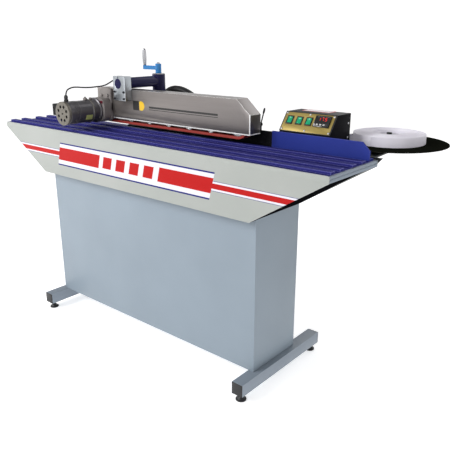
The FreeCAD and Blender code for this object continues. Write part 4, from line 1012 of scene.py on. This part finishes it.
def gold_panel():
    """Gold anodised sheet with a black printed border along its edges."""
    paint = bare_metal("panel_gold", (0.34, 0.255, 0.070), 0.42, 700, (0.03, 1, 1), metallic=0.5,
                       depth=0.00003, bright=(0.45, 0.38, 0.18))
    x, _, z = paint.coordinates()
    rim, slope_rim = 0.0042, 0.0042 * 0.807
    border = (x < panel_low[0] + rim) | (x > panel_high[0] - rim)
    border = border | (z < panel_low[2] + slope_rim) | (z > panel_high[2] - slope_rim)
    return paint.set(Base_Color=paint.mix(border, paint.colour(), (0.010, 0.010, 0.012)),
                     Metallic=0.5 - border * 0.5)


panel_gold = gold_panel()
box_black = enamel("box_black", (0.006, 0.006, 0.008), (0.10, 0.10, 0.11), 0.4, edge=0.001, coat=0.0,
                   gloss=0.03)
meter_black = moulded("meter_black", (0.012, 0.012, 0.013), 0.25, coat=0.4)
key_white = moulded("key_white", (0.62, 0.62, 0.60), 0.4)
green = moulded("switch_green", (0.005, 0.26, 0.12), 0.25, coat=0.3, worn=(0.1, 0.5, 0.3))
green.set(Emission_Color=(0.0, 0.50, 0.22), Emission_Strength=0.22)
glow = Paint("display_red", Base_Color=(0.5, 0.01, 0.01), Emission_Color=(1.0, 0.02, 0.02),
             Emission_Strength=0.9)
glow.set(Roughness=glow.noise(200) * 0.2 + 0.2)
label_white = moulded("label_white", (0.80, 0.78, 0.80), 0.35)
label_red = moulded("label_red", (0.62, 0.02, 0.03), 0.35)

softened("control_box", box_black, 0.0012, 3)
softened("control_panel", panel_gold, 0.0005)
softened("switch_bezels", black_plastic, 0.0007)
softened("temperature_controller", meter_black, 0.0007)
for number in range(1, 4):
    softened(f"rocker_switch_{number}", green, 0.0005)
    softened(f"controller_key_{number}", key_white, 0.0004)


def display_digits():
    """Three seven-bar digits: each bar is a thin six-sided slab."""
    lit = {"1": "bc", "7": "abc", "5": "afgcd"}
    wide, tall, bar = 0.0068, 0.0120, 0.0016
    bars = {"a": (0, tall / 2, 0), "g": (0, 0, 0), "d": (0, -tall / 2, 0),
            "f": (-wide / 2, tall / 4, 1), "b": (wide / 2, tall / 4, 1), "c": (wide / 2, -tall / 4, 1)}
    form = Form()
    for place, digit in enumerate("175"):
        middle = panel_foot + (0.154 + 0.0135 * place) * X + 0.0590 * panel_up
        for bar_name in lit[digit]:
            u, v, upright = bars[bar_name]
            tip = ((tall / 2 if upright else wide) - bar * 0.6) / 2
            neck = tip - bar / 2
            shape = np.array([(-tip, 0), (-neck, bar / 2), (neck, bar / 2), (tip, 0), (neck, -bar / 2),
                              (-neck, -bar / 2)])
            form.slab(shape[:, ::-1] if upright else shape, middle + u * X + v * panel_up, X, panel_up,
                      0.0070, 0.0073)
    form.piece("display_digits", glow, "frame", "controller_black")


def box_label():
    """A blank label with a coloured edge on the box's flat top."""
    low, high, _ = corners("control_box")
    top = np.array([low[0] + 0.0945, low[1] + 0.1225, high[2]])
    for name, wide, deep, rise, paint in (("label_edge", 0.062, 0.026, 0.0004, label_red),
                                          ("label_field", 0.056, 0.020, 0.0006, label_white)):
        form = Form().slab(oblong(wide, deep, 0.006, 5), top, X, Y, 0, rise, 0.0001)
        form.piece(name, paint, "frame", "controller_black")


def cover_screws():
    """Crossed pan heads where the cover screws are."""
    form = Form()
    box_low, box_high, _ = corners("control_box")
    wide, slope, inset, head = panel_high[0] - panel_low[0], math.hypot(0.049, 0.067), 0.008, 0.008
    for u in (inset, wide / 2, wide - inset):
        for v in (inset, slope - inset):
            spot = panel_foot + u * X + v * panel_up + 0.003 * panel_out
            pan_screw(form, spot, panel_out, head, 0.0025)
    for z in (box_low[2] + 0.016, box_low[2] + 0.068):
        pan_screw(form, np.array([box_low[0] + wide, box_high[1] - 0.030, z]), X, head, 0.0025)
    door_low, door_high, door = corners("cabinet_rear_panel")
    for side in (-0.5, 0.5):
        for z in (door_low[2] + 0.020, (door_low[2] + door_high[2]) / 2 - 0.005, door_high[2] - 0.030):
            pan_screw(form, np.array([door[0] + side * 1.191, door_high[1], z]), Y, 0.0112, 0.0025)
    form.stand_in("cover_screws", zinc)


display_digits()
box_label()
cover_screws()


# ---------------------------------------------------------------- reel

bracket_grey = enamel("bracket_grey", (0.022, 0.024, 0.026), (0.12, 0.13, 0.14), 0.5, coat=0.0, gloss=0.15)
tape_white = moulded("tape_white", (0.84, 0.81, 0.89), 0.45, worn=(0.92, 0.90, 0.96))


def disc_paint():
    """Dark enamel with a pale core where the roll sits."""
    paint = enamel("disc_dark", (0.010, 0.011, 0.008), (0.10, 0.10, 0.08), 0.62, coat=0.0, shade=0.4,
                   gloss=0.0)
    x, y, _ = paint.coordinates()
    middle = corners("reel_disc")[2]
    core = ((x - middle[0]) ** 2 + (y - middle[1]) ** 2) ** 0.5 < 0.0376
    return paint.set(Base_Color=paint.mix(core, paint.colour(), (0.62, 0.60, 0.66)))


disc_dark = disc_paint()
softened("rear_bracket", bracket_grey, 0.0010)
softened("edge_tape", tape_white, 0.0001, 1)


def reel():
    """The disc with its rolled rim, and the roll as rings of tape of slightly uneven height."""
    low, high, middle = corners("reel_disc")
    half, tall, bore, inner = (high[0] - low[0]) / 2, high[2] - low[2], 0.01005, 0.037
    ring = [(bore, 0), (half - 0.003, 0), (half, 0.0008), (half, 0.0022), (half - 0.002, 0.003),
            (half - 0.006, 0.0026), (half - 0.060, 0.0030), (inner, 0.003), (inner, tall - 0.002),
            (0.035, tall), (bore, tall)]
    form = Form().turn(ring, (middle[0], middle[1], low[2]), Z, 160, ring=True)
    form.stand_in("reel_disc", disc_dark, crisp=25)
    low, high, middle = corners("tape_roll")
    outer, tall = (high[0] - low[0]) / 2, high[2] - low[2]
    seeded = np.random.default_rng(4)
    layers = np.arange(inner, outer - 0.0005, 0.001)
    level = tall - 0.0002 - 0.0009 * seeded.random(len(layers)) ** 2
    level -= 0.0022 * (layers < 0.060)
    profile = [(inner, 0), (inner, level[0])]
    for radius, height in zip(layers, level):
        profile += [(radius + 0.0001, height), (radius + 0.0008, height), (radius + 0.0009, height - 0.0005)]
    profile += [(outer, level[-1] - 0.0003), (outer, 0.0075), (outer - 0.0010, 0.0070),
                (outer - 0.0010, 0.0062), (outer, 0.0057), (outer, 0.0003), (outer - 0.0003, 0)]
    form = Form().turn(profile, (middle[0], middle[1], low[2]), Z, 128, ring=True,
                       ripple=lambda turn, height: 0.00012 * np.sin(3 * turn + height * 900))
    form.stand_in("tape_roll", tape_white, crisp=40)


reel()


# ---------------------------------------------------------------- floor, light

def floor():
    """A pale round floor whose far rim sweeps up: z = 0 to 9 m out, then 9 m (1 - cos a)."""
    turn = np.linspace(0, 2 * np.pi, 96, endpoint=False)
    bend = np.linspace(0, np.pi / 2, 16)
    reach = np.concatenate([[0, 3, 6], 9 + 9 * np.sin(bend)])
    rise = np.concatenate([[0, 0, 0], 9 * (1 - np.cos(bend))])
    points = np.stack([reach[:, None] * np.cos(turn), reach[:, None] * np.sin(turn),
                       rise[:, None] + 0 * turn], -1)
    form = Form().grid(points)
    mesh = bpy.data.meshes.new("floor")
    mesh.from_pydata(points.reshape(-1, 3).tolist(), [], [face[::-1] for face in form.faces])
    mesh.shade_smooth()
    ground = link("floor", mesh)
    paint = Paint("floor_pale", Base_Color=(0.9, 0.9, 0.9), Roughness=0.95, Specular_IOR_Level=0.0,
                  Emission_Color=(1, 1, 1), Emission_Strength=0.53)
    mesh.materials.append(paint.material)


def lamp(name, place, aim, size, power, colour=(1, 1, 1)):
    """A square soft light at a place, turned to face a point."""
    data = bpy.data.lights.new(name, "AREA")
    data.size, data.energy, data.color = size, power, colour
    made = link(name, data)
    made.location = place
    away = np.array(aim, float) - np.array(place, float)
    tilt = math.atan2(away[2], math.hypot(away[0], away[1]))
    made.rotation_euler = (math.pi / 2 + tilt, 0, math.atan2(away[1], away[0]) - math.pi / 2)


floor()
lamp("key", (-2.0, -4.2, 3.4), (0, 0, 0.6), 2.2, 198)
lamp("fill", (2.6, -3.6, 1.6), (0, 0, 0.7), 2.5, 4, (0.90, 0.95, 1))
lamp("back", (0.5, 3.4, 3.6), (0, 0, 0.8), 2.5, 45)
world = bpy.data.worlds.new("studio")
world.use_nodes = True
world.node_tree.nodes["Background"].inputs["Color"].default_value = (1, 1, 1, 1)
world.node_tree.nodes["Background"].inputs["Strength"].default_value = 0.36
bpy.context.scene.world = world
bpy.context.scene.view_settings.view_transform = "Standard"
